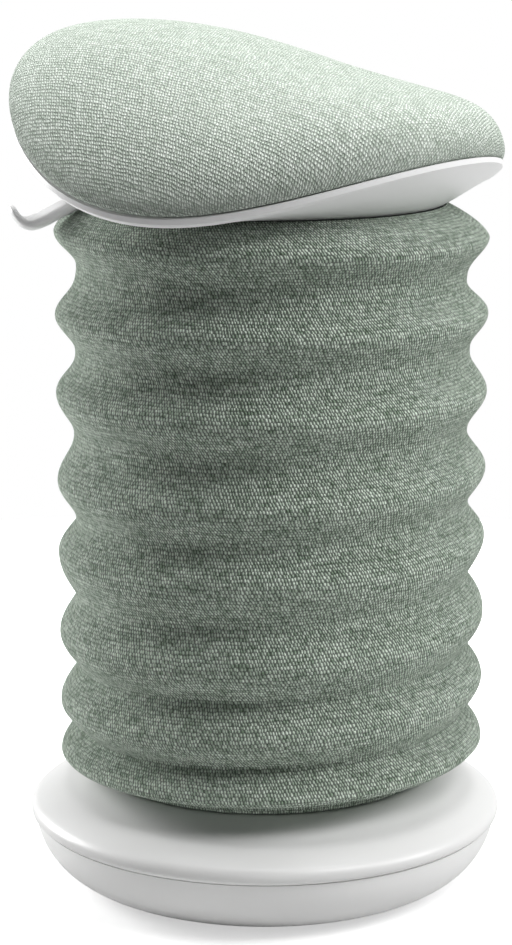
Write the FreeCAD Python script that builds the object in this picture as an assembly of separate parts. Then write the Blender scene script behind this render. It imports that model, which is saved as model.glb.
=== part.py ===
"""Height-adjustable wobble stool with a knitted bellows sleeve, in millimetres.

The frame stands on Z = 0 with +Z up. The seat's front points along -Y, so the seat is
mirror-symmetric about the YZ plane. Everything round shares the Z axis unless a name says otherwise.
"""
import FreeCAD, Part
import math
import os

V = FreeCAD.Vector
UP = V(0, 0, 1)

# Fits and gaps
running_fit = 0.05          # radial gap of a shaft or pin that turns or slides in its bore
seat_fit = 0.03             # radial gap of a part that is pushed home and stays
soft_gap = 0.3              # knit, foam and rubber stay this far from what they meet
tool_gap = 1.0              # room round screws and bosses that pass through a bigger hole

# Base: heights above the floor, and radii stepped in from the widest one
base_radius = 188.7
shell_lift = 1.2            # hard shell clears the floor by this much
shell_foot_inset = 56.7
shell_belly_inset = 17.2
shell_belly_height = 19.5
shell_seam_inset = 3.5
seam_height = 51.0
seam_gap = 0.8
shell_wall = 3.2
shell_floor = 5.0
foot_ring_height = 6.0
foot_ring_inset = 4.0       # from the edge of the shell's flat foot
foot_ring_width = 10.0
rim_rise = 5.2              # widest line of the cover, above the seam
rim_top_rise = 13.6
rim_top_inset = 8.0
cover_seam_inset = 3.2
under_rim_inset = 0.9
over_rim_inset = 2.0
over_rim_drop = 3.0
cover_wall = 3.0
cover_dome_rise = 1.6       # how far the cover's slope bows above a straight cone
hem_seat_rise = 37.7        # flat seat of the sleeve's hem, above the seam
hem_seat_width = 13.0
cover_mouth_rise = 5.3      # above the hem seat
cover_mouth_room = 20.0     # between the cover's mouth and the column's foot plate
register_depth = 7.0
register_gap = 1.6          # the cover's skirt hangs inside the shell's leaning wall
cover_boss_radius = 6.0
cover_boss_inset = 12.0     # from the foot ring's groove
cover_boss_cover = 0.75     # cover left over a boss where the two merge
cover_boss_count = 4
cover_boss_bearing = 45.0
cover_screw_radius = 2.0
cover_screw_grip = 30.0     # how far the screws reach above the ballast
cover_screw_head_radius = 4.2
cover_screw_head_height = 3.0
ballast_inset = 42.7
ballast_thickness = 14.0
ballast_chamfer = 5.0

# Rocking joint
pivot_rise = 20.8           # pivot centre above the yoke's flange
trunnion_radius = 6.0
trunnion_depth = 9.0        # how far a trunnion reaches into its cup
cup_wall = 3.0
ear_inner = 22.0
ear_thickness = 10.0
ear_wall = 4.0
cross_half_width = 11.0
buffer_room = 10.0          # between the yoke's ears and the rubber buffer
buffer_width = 14.0
buffer_groove_depth = 2.5
buffer_groove_height = 8.0
buffer_rest_gap = 9.2       # foot plate lands on the buffer only near full tilt
yoke_flange_thickness = 7.0
yoke_flange_edge = 10.0
yoke_bolt_room = 10.0       # from the buffer out to the bolt circle
yoke_bolt_count = 4
yoke_bolt_bearing = 45.0
yoke_bolt_radius = 4.0
yoke_bolt_head_radius = 6.5
yoke_bolt_head_height = 5.0

# Column
foot_plate_edge = 2.0       # foot plate reaches this far past the buffer
foot_plate_rise = 24.0      # its underside above the pivot
foot_plate_thickness = 8.0
socket_wall = 5.5
socket_height = 30.0
tube_radius = 25.0
tube_wall = 2.5
tube_overlap = 135.0        # how far the lift's cylinder reaches down inside the tube
bush_length = 70.0
bush_flange_height = 4.0

# Seat pan's floor, which everything above and the lift hang from
pan_floor_height = 541.4

# Gas lift
cylinder_radius = 14.0
cylinder_wall = 1.9
cylinder_length = 331.4
cylinder_rise = 20.0        # its top above the pan's floor
cone_length = 34.0
cone_taper = 1.1            # in radius
gland_thickness = 8.0
rod_radius = 5.0
rod_tail = 8.5              # below the foot plate
rod_collar_width = 3.0
rod_collar_height = 4.0
piston_height = 12.0
piston_rise = 104.0         # piston's top above the cylinder's bottom
clip_width = 3.5
clip_thickness = 1.2
clip_depth = 1.0
clip_mouth = 7.0
thrust_width = 7.0
thrust_height = 6.0
valve_radius = 3.0
valve_round = 0.6
valve_length = 18.0
valve_stroke_room = 6.0
valve_standout = 4.0

# Seat plan and saddle. The long way runs from the rear (-1) to the front (+1), the wide way
# from the sitter's right (-1) to the left (+1).
seat_length = 381.0
seat_width = 357.0
seat_setback = 4.0          # centre of the plan lies this far behind the column
seat_plan_power = 2.076
front_narrowing_share = 0.074
saddle_rise = 61.4          # middle of the saddle above the pan's floor
front_drop = 58.3
end_drop = 19.0
nose_lift = 24.5            # cubic and quartic terms bring both ends up again
tip_lift = 35.2
side_droop = 55.3
droop_to_rear_share = 0.489
droop_at_ends_share = 0.903       # share of the droop lost towards both ends
pad_thickness = 58.8
pad_shoulder = 4.25         # a higher power gives a flatter top and a squarer shoulder
pad_to_front_share = 0.212        # the pad is thicker towards the front by this share
pad_bulge_share = 0.012           # sides swell by this share of the plan
pad_bulge_rise_share = 0.08       # and most at this share of the pad's thickness
saddle_shares = (0.25, 0.45, 0.62, 0.76, 0.86, 0.94)   # where the saddle is measured out
crown_shares = (0.975, 0.93, 0.85, 0.7, 0.5, 0.25)     # and the crown, back in from its edge
crown_edge_share = 0.99
crown_flat_share = 0.03           # share of the plan left flat at the middle of each surface
ring_points = 32
ring_spacing = 0.05         # rings of a skin lie at least this share apart
board_thickness = 6.0
board_share = 0.885
lip_gap = 0.4               # shadow line between the pad and the lip
lip_corner = 0.8            # the lip's upper corner is broken by this much
lip_undercut = 2.4          # the lip's lower corner, in height
lip_corner_share = 0.994
lip_foot_share = 0.985
lip_height = 7.5
lip_share = 0.965
pan_wall = 3.5
pan_belly_power = 1.15            # power that bows the slope of the pan outward
pan_slope_shares = (0.0, 0.2, 0.4, 0.6, 0.8, 1.0)
pan_hole_room = 3.0

# Collar under the pan, with the sleeve's top ring round it
collar_inner_radius = 127.0
collar_wall = 4.5
collar_depth = 14.3
collar_flange = 3.6
collar_flange_height = 2.4
collar_to_slope = 6.5       # the pan's flat floor reaches this far past the collar
top_ring_wall = 6.8
top_ring_gap = 1.2          # below the pan's floor

# Mechanism inside the pan
plate_length = 150.0
plate_width = 116.0
plate_thickness = 3.5
plate_corner = 12.0
plate_bolt_edge_x = 14.0
plate_bolt_edge_y = 15.0
plate_bolt_radius = 3.0
plate_bolt_head = 4.0
plate_bolt_end = 1.5
plate_nut_height = 5.0
plate_nut_across = 10.0
cone_socket_wall = 5.0
cone_socket_drop = 14.0
cone_standout = 4.0         # the lift's head stands this far out of its socket
board_screw_radius = 2.2
board_screw_head = 3.0
board_screw_bite = 3.0
board_hole_spare = 1.0
board_boss_radius = 7.0
board_screw_circle = 100.0
board_screw_bearings = (-25.0, 70.0, 110.0, 205.0)

# Height lever, laid out along its own length. Heights are against the pan's floor.
lever_azimuth = 140.3
lever_pivot_out = 34.0
lever_pin_radius = 2.5
lever_pin_end = 1.5
lever_eye_radius = 6.0
lever_thickness = 10.0
lever_inner_width = 16.0
lever_outer_width = 30.0
lever_side_gap = 0.5
lever_ear_thickness = 3.0
lever_nose_in = 8.0
lever_nose_taper = 0.3
lever_widening = 20.0
lever_widening_end = 6.0
lever_corner = 2.0
lever_bend_to_slope = 3.0   # the bend lies this far outside the pan's flat floor
lever_bend_rise = 5.4
lever_shoulder_in = 29.0    # from the bend
lever_shoulder_rise = 20.0
lever_root_out = 27.0       # from the bend
lever_root_drop = 6.5
lever_dish_out = 16.0       # from the root
lever_dish_drop = 16.0
lever_tip_out = 14.0        # from the dish
lever_tip_drop = 0.4
lever_root_offset = (4.0, -2.0)     # the paddle's upper face starts here, from the root
lever_dish_offset = (3.0, 1.5)
lever_bowl_offset = 2.0
lever_tip_edge = (1.5, 1.0, -2.0)   # in, up and down from the tip to its two corners
slot_inner = 21.0           # from the bend inward and outward
slot_outer = 23.0
slot_reach = 30.0

# Knitted sleeve. Hoops hang at shares of the way from the hem's seat up to the pan's floor.
hoop_shares = (0.04484, 0.14734, 0.26706, 0.40689, 0.53126, 0.67550, 0.81135, 0.94742)
hoop_leans = (1.8, 3.4, 2.9, 2.3, 2.0, 0.5, 0.4, -0.7)
lean_azimuth = -53.9        # each hoop is highest towards this direction
sleeve_shift = 5.0          # the slack sleeve hangs this far off the axis, the same way
crest_radius = 169.0
valley_depths = (16.0, 14.5, 13.0, 13.5, 14.5, 15.0, 16.0)
valley_sharpness = (1.1, 1.25, 1.5, 1.9, 2.2, 2.6, 2.9)
knit_thickness = 1.6
hoop_wire_radius = 2.2
hem_radius = 134.5
hem_edge = 2.5              # the flat seat shows this far outside the hem
hem_lift = 0.7
hem_rise_power = 1.25
neck_power = 1.6
hem_ring_width = 6.0
hem_ring_height = 6.0
panel_rings = 9
end_rings = 6

# Directions and shared places worked out from the sizes above
shell_foot_radius = base_radius - shell_foot_inset
foot_ring_radius = shell_foot_radius - foot_ring_inset
cover_boss_circle = foot_ring_radius - foot_ring_width - cover_boss_inset
hem_seat_outer = hem_radius + hem_edge
hem_seat_inner = hem_seat_outer - hem_seat_width
hem_seat_height = seam_height + hem_seat_rise
hem_bottom = hem_seat_height + hem_lift
ballast_radius = base_radius - ballast_inset
ballast_bottom = shell_lift + shell_floor
ballast_top = ballast_bottom + ballast_thickness
yoke_top = ballast_top + yoke_flange_thickness
pivot_height = yoke_top + pivot_rise
cup_radius = trunnion_radius + cup_wall
ear_half_width = cup_radius + ear_wall
trunnion_half_length = ear_inner + trunnion_depth
buffer_inner_radius = ear_inner + ear_thickness + buffer_room
buffer_outer_radius = buffer_inner_radius + buffer_width
yoke_bolt_circle = buffer_outer_radius + yoke_bolt_room
yoke_flange_radius = yoke_bolt_circle + yoke_flange_edge
foot_plate_radius = buffer_outer_radius + foot_plate_edge
foot_plate_bottom = pivot_height + foot_plate_rise
foot_plate_top = foot_plate_bottom + foot_plate_thickness
cover_mouth_radius = foot_plate_radius + cover_mouth_room
tube_bore = tube_radius - tube_wall
cylinder_top = pan_floor_height + cylinder_rise
cylinder_bottom = cylinder_top - cylinder_length
tube_top = cylinder_bottom + tube_overlap
cone_top_radius = cylinder_radius - cone_taper
rod_bottom = foot_plate_bottom - rod_tail
piston_top = cylinder_bottom + piston_rise
saddle_height = pan_floor_height + saddle_rise
plate_bottom = pan_floor_height + pan_wall
plate_top = plate_bottom + plate_thickness
pan_hole_radius = cylinder_radius + cone_socket_wall + pan_hole_room
collar_radius = collar_inner_radius + collar_wall
pan_floor_radius = collar_radius + collar_to_slope
ring_inner = collar_radius + soft_gap
ring_outer = ring_inner + top_ring_wall
ring_bottom = pan_floor_height - collar_depth + collar_flange_height + soft_gap
ring_top = pan_floor_height - top_ring_gap
sleeve_top_radius = ring_outer + soft_gap + knit_thickness
hoop_radius = crest_radius - knit_thickness - soft_gap - hoop_wire_radius
hoop_heights = [hem_seat_height + share * (pan_floor_height - hem_seat_height) for share in hoop_shares]
lever_pivot_height = cylinder_top + valve_standout + lever_thickness / 2
lever_bend = (pan_floor_radius + lever_bend_to_slope, pan_floor_height + lever_bend_rise)
lever_shoulder = (lever_bend[0] - lever_shoulder_in, pan_floor_height + lever_shoulder_rise)
lever_root = (lever_bend[0] + lever_root_out, pan_floor_height - lever_root_drop)
lever_dish = (lever_root[0] + lever_dish_out, pan_floor_height - lever_dish_drop)
lever_tip = (lever_dish[0] + lever_tip_out, pan_floor_height - lever_tip_drop)
lean = V(math.cos(math.radians(lean_azimuth)), math.sin(math.radians(lean_azimuth)), 0)
lever_way = V(math.cos(math.radians(lever_azimuth)), math.sin(math.radians(lever_azimuth)), 0)
lever_side = UP.cross(lever_way)


def save(name, shape):
    """Write one sub-part under its node name."""
    shape.exportStep(os.path.join("parts", name + ".step"))


def disc(radius, bottom, top, x=0.0, y=0.0):
    return Part.makeCylinder(radius, top - bottom, V(x, y, bottom))


def tube(inner, outer, bottom, top, x=0.0, y=0.0):
    return disc(outer, bottom, top, x, y).cut(disc(inner, bottom, top, x, y))


def line(a, b):
    return Part.LineSegment(V(a[0], 0, a[1]), V(b[0], 0, b[1])).toShape()


def arc(a, b, c):
    return Part.Arc(V(a[0], 0, a[1]), V(b[0], 0, b[1]), V(c[0], 0, c[1])).toShape()


def turned(edges):
    """Solid of revolution about Z from edges in the half plane X > 0, Y = 0."""
    return Part.Face(Part.Wire(edges)).revolve(V(0, 0, 0), UP, 360)


def around(shape, count, first=0.0):
    """Copies of a shape spaced evenly about Z."""
    copies = []
    for i in range(count):
        copy = shape.copy()
        copy.rotate(V(0, 0, 0), UP, first + 360.0 * i / count)
        copies.append(copy)
    return copies


def cut_all(shape, tools):
    for tool in tools:
        shape = shape.cut(tool)
    return shape


def fuse_all(shape, others):
    for other in others:
        shape = shape.fuse(other)
    return shape.removeSplitter()


def inward(a, b, c, wall):
    """The same three-point arc, moved towards its centre by a wall thickness."""
    centre = arc(a, b, c).Curve.Center
    moved = []
    for p in (a, b, c):
        point = V(p[0], 0, p[1])
        step = (centre - point).normalize() * wall
        moved.append((point.x + step.x, point.z + step.z))
    return moved


# Base

def shell_arc():
    foot = (shell_foot_radius, shell_lift)
    belly = (base_radius - shell_belly_inset, shell_belly_height)
    seam = (base_radius - shell_seam_inset, seam_height - seam_gap / 2)
    return foot, belly, seam


def base_shell():
    foot, belly, seam = shell_arc()
    inner_foot, inner_belly, inner_seam = inward(foot, belly, seam, shell_wall)
    floor_top = shell_lift + shell_floor
    body = turned([
        line((0, shell_lift), foot),
        arc(foot, belly, seam),
        line(seam, (inner_seam[0], seam[1])),
        line((inner_seam[0], seam[1]), inner_seam),
        arc(inner_seam, inner_belly, inner_foot),
        line(inner_foot, (0, inner_foot[1])),
        line((0, inner_foot[1]), (0, shell_lift)),
    ])
    body = body.fuse(disc(shell_foot_radius, shell_lift, floor_top)).removeSplitter()
    groove = tube(foot_ring_radius - foot_ring_width, foot_ring_radius,
                  shell_lift, foot_ring_height)
    screw = disc(cover_screw_radius + tool_gap, 0, floor_top, cover_boss_circle)
    head = disc(cover_screw_head_radius + tool_gap, 0,
                shell_lift + cover_screw_head_height, cover_boss_circle)
    return cut_all(body, [groove] + around(screw, cover_boss_count, cover_boss_bearing)
                   + around(head, cover_boss_count, cover_boss_bearing))


def foot_ring():
    inner = foot_ring_radius - foot_ring_width + running_fit
    return tube(inner, foot_ring_radius - running_fit, 0, foot_ring_height)


def cover_profile():
    """The cover's outside from the seam to its mouth: three arcs and the flat hem seat."""
    seam = (base_radius - cover_seam_inset, seam_height + seam_gap / 2)
    rim = (base_radius, seam_height + rim_rise)
    under_rim = (base_radius - under_rim_inset, (seam[1] + rim[1]) / 2)
    rim_top = (base_radius - rim_top_inset, seam_height + rim_top_rise)
    over_rim = (base_radius - over_rim_inset, rim_top[1] - over_rim_drop)
    seat_edge = (hem_seat_outer, hem_seat_height)
    slope = ((rim_top[0] + seat_edge[0]) / 2, (rim_top[1] + seat_edge[1]) / 2 + cover_dome_rise)
    return seam, under_rim, rim, over_rim, rim_top, slope, seat_edge


def base_cover():
    seam, under_rim, rim, over_rim, rim_top, slope, seat_edge = cover_profile()
    seat_in = (hem_seat_inner, hem_seat_height)
    mouth = (cover_mouth_radius, hem_seat_height + cover_mouth_rise)
    crown = ((seat_in[0] + mouth[0]) / 2, (seat_in[1] + mouth[1]) / 2 + cover_dome_rise)
    wall = cover_wall
    shell_seam = shell_arc()[2]
    register = shell_seam[0] - shell_wall - register_gap
    body = turned([
        arc(seam, under_rim, rim),
        arc(rim, over_rim, rim_top),
        arc(rim_top, slope, seat_edge),
        line(seat_edge, seat_in),
        arc(seat_in, crown, mouth),
        line(mouth, (mouth[0], mouth[1] - wall)),
        arc((mouth[0], mouth[1] - wall), (crown[0], crown[1] - wall), (seat_in[0], seat_in[1] - wall)),
        line((seat_in[0], seat_in[1] - wall), (seat_edge[0], seat_edge[1] - wall)),
        arc((seat_edge[0], seat_edge[1] - wall), (slope[0], slope[1] - wall),
            (rim_top[0] - wall, rim_top[1] - wall)),
        line((rim_top[0] - wall, rim_top[1] - wall), (register - wall, rim[1])),
        line((register - wall, rim[1]), (register - wall, seam[1] - register_depth)),
        line((register - wall, seam[1] - register_depth), (register, seam[1] - register_depth)),
        line((register, seam[1] - register_depth), (register, seam[1])),
        line((register, seam[1]), seam),
    ])
    boss_top = hem_seat_height + wall
    boss = tube(cover_screw_radius, cover_boss_radius, ballast_top, boss_top, cover_boss_circle)
    merge = [(x, z - cover_boss_cover) for x, z in ((rim_top[0] - 2 * wall, rim_top[1]), seat_edge,
                                                    seat_in, mouth)]
    corners = [(0, 0), (merge[0][0], 0)] + merge + [(0, merge[-1][1]), (0, 0)]
    under = turned([line(corners[i], corners[i + 1]) for i in range(len(corners) - 1)])
    bosses = [b.common(under) for b in around(boss, cover_boss_count, cover_boss_bearing)]
    return fuse_all(body, bosses)


def cover_screws():
    bottom = shell_lift
    top = ballast_top + cover_screw_grip
    shank = disc(cover_screw_radius - running_fit, bottom, top, cover_boss_circle)
    head = disc(cover_screw_head_radius, bottom, bottom + cover_screw_head_height, cover_boss_circle)
    screw = shank.fuse(head).removeSplitter()
    return Part.makeCompound(around(screw, cover_boss_count, cover_boss_bearing))


def ballast_plate():
    body = turned([
        line((0, ballast_bottom), (ballast_radius - ballast_chamfer, ballast_bottom)),
        line((ballast_radius - ballast_chamfer, ballast_bottom),
             (ballast_radius, ballast_bottom + ballast_chamfer)),
        line((ballast_radius, ballast_bottom + ballast_chamfer), (ballast_radius, ballast_top)),
        line((ballast_radius, ballast_top), (0, ballast_top)),
        line((0, ballast_top), (0, ballast_bottom)),
    ])
    screw = disc(cover_screw_radius + tool_gap, ballast_bottom, ballast_top, cover_boss_circle)
    bolt = disc(yoke_bolt_radius, ballast_bottom, ballast_top, yoke_bolt_circle)
    return cut_all(body, around(screw, cover_boss_count, cover_boss_bearing)
                   + around(bolt, yoke_bolt_count, yoke_bolt_bearing))


def ear(flange_side):
    """One yoke ear on +X, round about the pivot, reaching down or up to its flange."""
    block = Part.makeBox(ear_thickness, 2 * ear_half_width, abs(flange_side - pivot_height),
                         V(ear_inner, -ear_half_width, min(flange_side, pivot_height)))
    end = Part.makeCylinder(ear_half_width, ear_thickness, V(ear_inner, 0, pivot_height), V(1, 0, 0))
    bore = Part.makeCylinder(cup_radius, ear_thickness, V(ear_inner, 0, pivot_height), V(1, 0, 0))
    return block.fuse(end).cut(bore)


def base_yoke():
    flange = disc(yoke_flange_radius, ballast_top, yoke_top)
    bolt = disc(yoke_bolt_radius, ballast_top, yoke_top, yoke_bolt_circle)
    body = fuse_all(flange, around(ear(yoke_top), 2))
    return cut_all(body, around(bolt, yoke_bolt_count, yoke_bolt_bearing))


def yoke_bolts():
    shank = disc(yoke_bolt_radius - running_fit, ballast_bottom, yoke_top, yoke_bolt_circle)
    head = disc(yoke_bolt_head_radius, yoke_top, yoke_top + yoke_bolt_head_height, yoke_bolt_circle)
    recess = disc(yoke_bolt_radius / 2, yoke_top + yoke_bolt_head_height / 2,
                  yoke_top + yoke_bolt_head_height, yoke_bolt_circle)
    bolt = shank.fuse(head).removeSplitter().cut(recess)
    return Part.makeCompound(around(bolt, yoke_bolt_count, yoke_bolt_bearing))


def cup():
    """One bearing cup on +X, pushed into an ear and closed at its outer end."""
    outer = Part.makeCylinder(cup_radius - seat_fit, ear_thickness,
                              V(ear_inner, 0, pivot_height), V(1, 0, 0))
    bore = Part.makeCylinder(trunnion_radius + running_fit, trunnion_half_length + soft_gap - ear_inner,
                             V(ear_inner, 0, pivot_height), V(1, 0, 0))
    return outer.cut(bore)


def base_cups():
    return Part.makeCompound(around(cup(), 2))


def column_cups():
    return Part.makeCompound(around(cup(), 2, 90))


def pivot_cross():
    side = 2 * cross_half_width
    block = Part.makeBox(side, side, side,
                         V(-cross_half_width, -cross_half_width, pivot_height - cross_half_width))
    along_x = Part.makeCylinder(trunnion_radius, 2 * trunnion_half_length,
                                V(-trunnion_half_length, 0, pivot_height), V(1, 0, 0))
    along_y = Part.makeCylinder(trunnion_radius, 2 * trunnion_half_length,
                                V(0, -trunnion_half_length, pivot_height), V(0, 1, 0))
    return fuse_all(block, [along_x, along_y])


def tilt_buffer():
    """Rubber ring with one V groove round its waist."""
    top = foot_plate_bottom - buffer_rest_gap
    middle = (yoke_top + top) / 2
    half = buffer_groove_height / 2
    return turned([
        line((buffer_inner_radius, yoke_top), (buffer_outer_radius, yoke_top)),
        line((buffer_outer_radius, yoke_top), (buffer_outer_radius, middle - half)),
        line((buffer_outer_radius, middle - half), (buffer_outer_radius - buffer_groove_depth, middle)),
        line((buffer_outer_radius - buffer_groove_depth, middle), (buffer_outer_radius, middle + half)),
        line((buffer_outer_radius, middle + half), (buffer_outer_radius, top)),
        line((buffer_outer_radius, top), (buffer_inner_radius, top)),
        line((buffer_inner_radius, top), (buffer_inner_radius, yoke_top)),
    ])


# Column

def column_foot():
    plate = disc(foot_plate_radius, foot_plate_bottom, foot_plate_top)
    ears = around(ear(foot_plate_bottom), 2, 90)
    socket = tube(tube_radius + seat_fit, tube_radius + socket_wall,
                  foot_plate_top, foot_plate_top + socket_height)
    body = fuse_all(plate, ears + [socket])
    return body.cut(disc(rod_radius + running_fit, foot_plate_bottom, foot_plate_top))


def stand_tube():
    return tube(tube_bore, tube_radius, foot_plate_top, tube_top)


def guide_bush():
    bore = cylinder_radius + running_fit
    body = tube(bore, tube_bore - seat_fit, tube_top - bush_length, tube_top)
    flange = tube(bore, tube_radius, tube_top, tube_top + bush_flange_height)
    return body.fuse(flange).removeSplitter()


def thrust_bearing():
    return tube(rod_radius + running_fit, rod_radius + thrust_width,
                foot_plate_top, foot_plate_top + thrust_height)


# Gas lift

def piston_rod():
    rod = disc(rod_radius, rod_bottom, piston_top)
    collar_bottom = foot_plate_top + thrust_height
    collar = disc(rod_radius + rod_collar_width, collar_bottom, collar_bottom + rod_collar_height)
    piston = disc(cylinder_radius - cylinder_wall - running_fit, piston_top - piston_height, piston_top)
    clip_top = foot_plate_bottom - running_fit
    groove = tube(rod_radius - clip_depth, 2 * rod_radius, clip_top - clip_thickness, clip_top)
    return fuse_all(rod, [collar, piston]).cut(groove)


def rod_clip():
    top = foot_plate_bottom - running_fit
    clip_radius = rod_radius + clip_width
    ring = tube(rod_radius - clip_depth, clip_radius, top - clip_thickness, top)
    mouth = Part.makeBox(clip_radius, clip_mouth, clip_thickness,
                         V(0, -clip_mouth / 2, top - clip_thickness))
    return ring.cut(mouth)


def cylinder_cone(grow, bottom, top):
    """The lift's tapered head, grown by a gap, between two heights."""
    slope = (cylinder_radius - cone_top_radius) / cone_length
    foot = cone_top_radius + slope * (cylinder_top - bottom) + grow
    head = cone_top_radius + slope * (cylinder_top - top) + grow
    return Part.makeCone(foot, head, top - bottom, V(0, 0, bottom))


def gas_cylinder():
    cone_bottom = cylinder_top - cone_length
    body = disc(cylinder_radius, cylinder_bottom, cone_bottom)
    body = body.fuse(cylinder_cone(0, cone_bottom, cylinder_top)).removeSplitter()
    chamber = disc(cylinder_radius - cylinder_wall, cylinder_bottom + gland_thickness,
                   cylinder_top - valve_length - valve_stroke_room)
    gland = disc(rod_radius + running_fit, cylinder_bottom, cylinder_bottom + gland_thickness)
    valve = disc(valve_radius + running_fit, cylinder_top - valve_length - valve_stroke_room, cylinder_top)
    return cut_all(body, [chamber, gland, valve])


def valve_pin():
    top = cylinder_top + valve_standout
    pin = disc(valve_radius, top - valve_length, top)
    return pin.makeFillet(valve_round, [e for e in pin.Edges if abs(e.BoundBox.ZMin - top) < 0.01])


# Seat: one plan outline and one saddle surface shape the pad, the board and the pan

def plan(angle):
    """Share of the half length and half width at an angle round the plan; 0 is the front."""
    c = math.cos(angle)
    s = math.sin(angle)
    power = 2.0 / seat_plan_power
    ahead = math.copysign(abs(c) ** power, c)
    across = math.copysign(abs(s) ** power, s) * (1 - front_narrowing_share * ahead)
    return ahead, across


def saddle(ahead, across):
    """Height of the saddle surface, which is the line where the pad meets the pan's lip."""
    droop = side_droop * across ** 2 * (1 - droop_to_rear_share * ahead - droop_at_ends_share * ahead ** 2)
    return (saddle_height - front_drop * ahead - end_drop * ahead ** 2 + nose_lift * ahead ** 3
            + tip_lift * ahead ** 4 - droop)


def plan_point(angle, share, height):
    ahead, across = plan(angle)
    return V(share * across * seat_width / 2, seat_setback - share * ahead * seat_length / 2, height)


def saddle_point(angle, share, rise):
    """A point of the saddle at a share of the way out to the plan's edge, raised."""
    ahead, across = plan(angle)
    return plan_point(angle, share, saddle(share * ahead, share * across) + rise)


def middle_point(angle, rise):
    """A point of the small flat patch in the saddle's middle, which tips with the saddle."""
    ahead = plan(angle)[0]
    return plan_point(angle, crown_flat_share, saddle_height - front_drop * crown_flat_share * ahead + rise)


def ring(place):
    """Points all round, from a function of the angle."""
    return [place(2 * math.pi * i / ring_points) for i in range(ring_points)]


def skin(rings):
    """One smooth face through rings of points, closed round the rings."""
    count = len(rings)
    steps = [i / (count - 1.0) for i in range(count)]
    turns = [i / float(ring_points) for i in range(ring_points + 1)]
    rows = []
    for i in range(ring_points):
        curve = Part.BSplineCurve()
        meridian = [points[i] for points in rings]
        if count == 2:
            curve.buildFromPolesMultsKnots(meridian, [2, 2], [0, 1], False, 1)
        else:
            curve.interpolate(Points=meridian, Parameters=steps)
        rows.append(curve)
    columns = []
    for j in range(rows[0].NbPoles):
        curve = Part.BSplineCurve()
        curve.interpolate(Points=[row.getPole(j + 1) for row in rows],
                          Parameters=turns, PeriodicFlag=True)
        columns.append(curve)
    poles = [[column.getPole(i + 1) for column in columns] for i in range(columns[0].NbPoles)]
    surface = Part.BSplineSurface()
    surface.buildFromPolesMultsKnots(poles, columns[0].getMultiplicities(), rows[0].getMultiplicities(),
                                     columns[0].getKnots(), rows[0].getKnots(),
                                     True, False, columns[0].Degree, rows[0].Degree)
    return surface.toShape()


def closed(patches):
    """Solid from patches of rings that follow on; its first and last rings are flat."""
    faces = [skin(rings) for rings in patches]
    ends = [(faces[0], patches[0][0][0]), (faces[-1], patches[-1][-1][0])]
    for face, point in ends:
        round_edges = [e for e in face.Edges if e.isClosed()]
        end = min(round_edges, key=lambda e: e.distToShape(Part.Vertex(point))[0])
        faces.append(Part.Face(Part.Wire([end])))
    shell = Part.makeShell(faces)
    shell.sewShape()
    solid = Part.makeSolid(shell)
    if solid.Volume < 0:
        solid.reverse()
    return solid


def pad_point(angle, share):
    """A point on the pad's crown, whose rise falls to nothing at the plan's edge."""
    ahead = share * plan(angle)[0]
    rise = pad_thickness * (1 + pad_to_front_share * ahead) * math.sqrt(1 - share ** pad_shoulder)
    return saddle_point(angle, share, rise)


def seat_pad():
    under = [ring(lambda a: middle_point(a, 0))]
    for share in saddle_shares:
        under.append(ring(lambda a: saddle_point(a, share, 0)))
    under.append(ring(lambda a: saddle_point(a, 1.0, soft_gap)))
    side = [under[-1]]
    bulge_rise = pad_thickness * pad_bulge_rise_share
    side.append(ring(lambda a: shifted(saddle_point(a, 1.0, bulge_rise), a, pad_bulge_share)))
    side.append(ring(lambda a: shifted(pad_point(a, crown_edge_share), a, pad_bulge_share / 2)))
    for share in crown_shares:
        side.append(ring(lambda a: pad_point(a, share)))
    side.append(ring(lambda a: middle_point(a, pad_thickness)))
    return closed([under, side])


def shifted(point, angle, share):
    """A point moved outward in plan by a share of the seat's half size."""
    outer = plan_point(angle, 1.0 + share, point.z)
    edge = plan_point(angle, 1.0, point.z)
    return point + (outer - edge)


def seat_board():
    bottom = [ring(lambda a: middle_point(a, -soft_gap - board_thickness))]
    inner_shares = [share for share in saddle_shares if share < board_share - ring_spacing]
    for share in inner_shares:
        bottom.append(ring(lambda a: saddle_point(a, share, -soft_gap - board_thickness)))
    bottom.append(ring(lambda a: saddle_point(a, board_share, -soft_gap - board_thickness)))
    top = [ring(lambda a: saddle_point(a, board_share, -soft_gap))]
    for share in reversed(inner_shares):
        top.append(ring(lambda a: saddle_point(a, share, -soft_gap)))
    top.append(ring(lambda a: middle_point(a, -soft_gap)))
    body = closed([bottom, [bottom[-1], top[0]], top])
    depth = board_screw_bite + board_hole_spare
    return cut_all(body, [disc(board_screw_radius, pan_floor_height, board_underside(x, y) + depth, x, y)
                          for x, y in board_screw_places()])


def board_screw_places():
    return [(board_screw_circle * math.cos(math.radians(bearing)),
             board_screw_circle * math.sin(math.radians(bearing))) for bearing in board_screw_bearings]


def board_underside(x, y):
    """Height of the board's underside above a place near the middle of the seat."""
    ahead = (seat_setback - y) / (seat_length / 2)
    across = x / (seat_width / 2)
    return saddle(ahead, across) - soft_gap - board_thickness


def floor_circle(angle, radius, height):
    """A point on a circle about the column, at the plan angle's own bearing."""
    aim = plan_point(angle, 1.0, 0)
    scale = radius / math.hypot(aim.x, aim.y)
    return V(aim.x * scale, aim.y * scale, height)


def pan_slope(start, end, wall):
    """Rings from the pan's floor out to its lip, bowed a little outward."""
    rings = []
    for step in pan_slope_shares:
        def place(a, step=step):
            a0 = floor_circle(a, start, pan_floor_height + wall)
            a1 = saddle_point(a, end, 0)
            a1.z = saddle_point(a, 1.0, 0).z - lip_height + wall
            flat = (a1.z - a0.z) * (step ** pan_belly_power)
            return V(a0.x + (a1.x - a0.x) * step, a0.y + (a1.y - a0.y) * step, a0.z + flat)
        rings.append(ring(place))
    return rings


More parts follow.
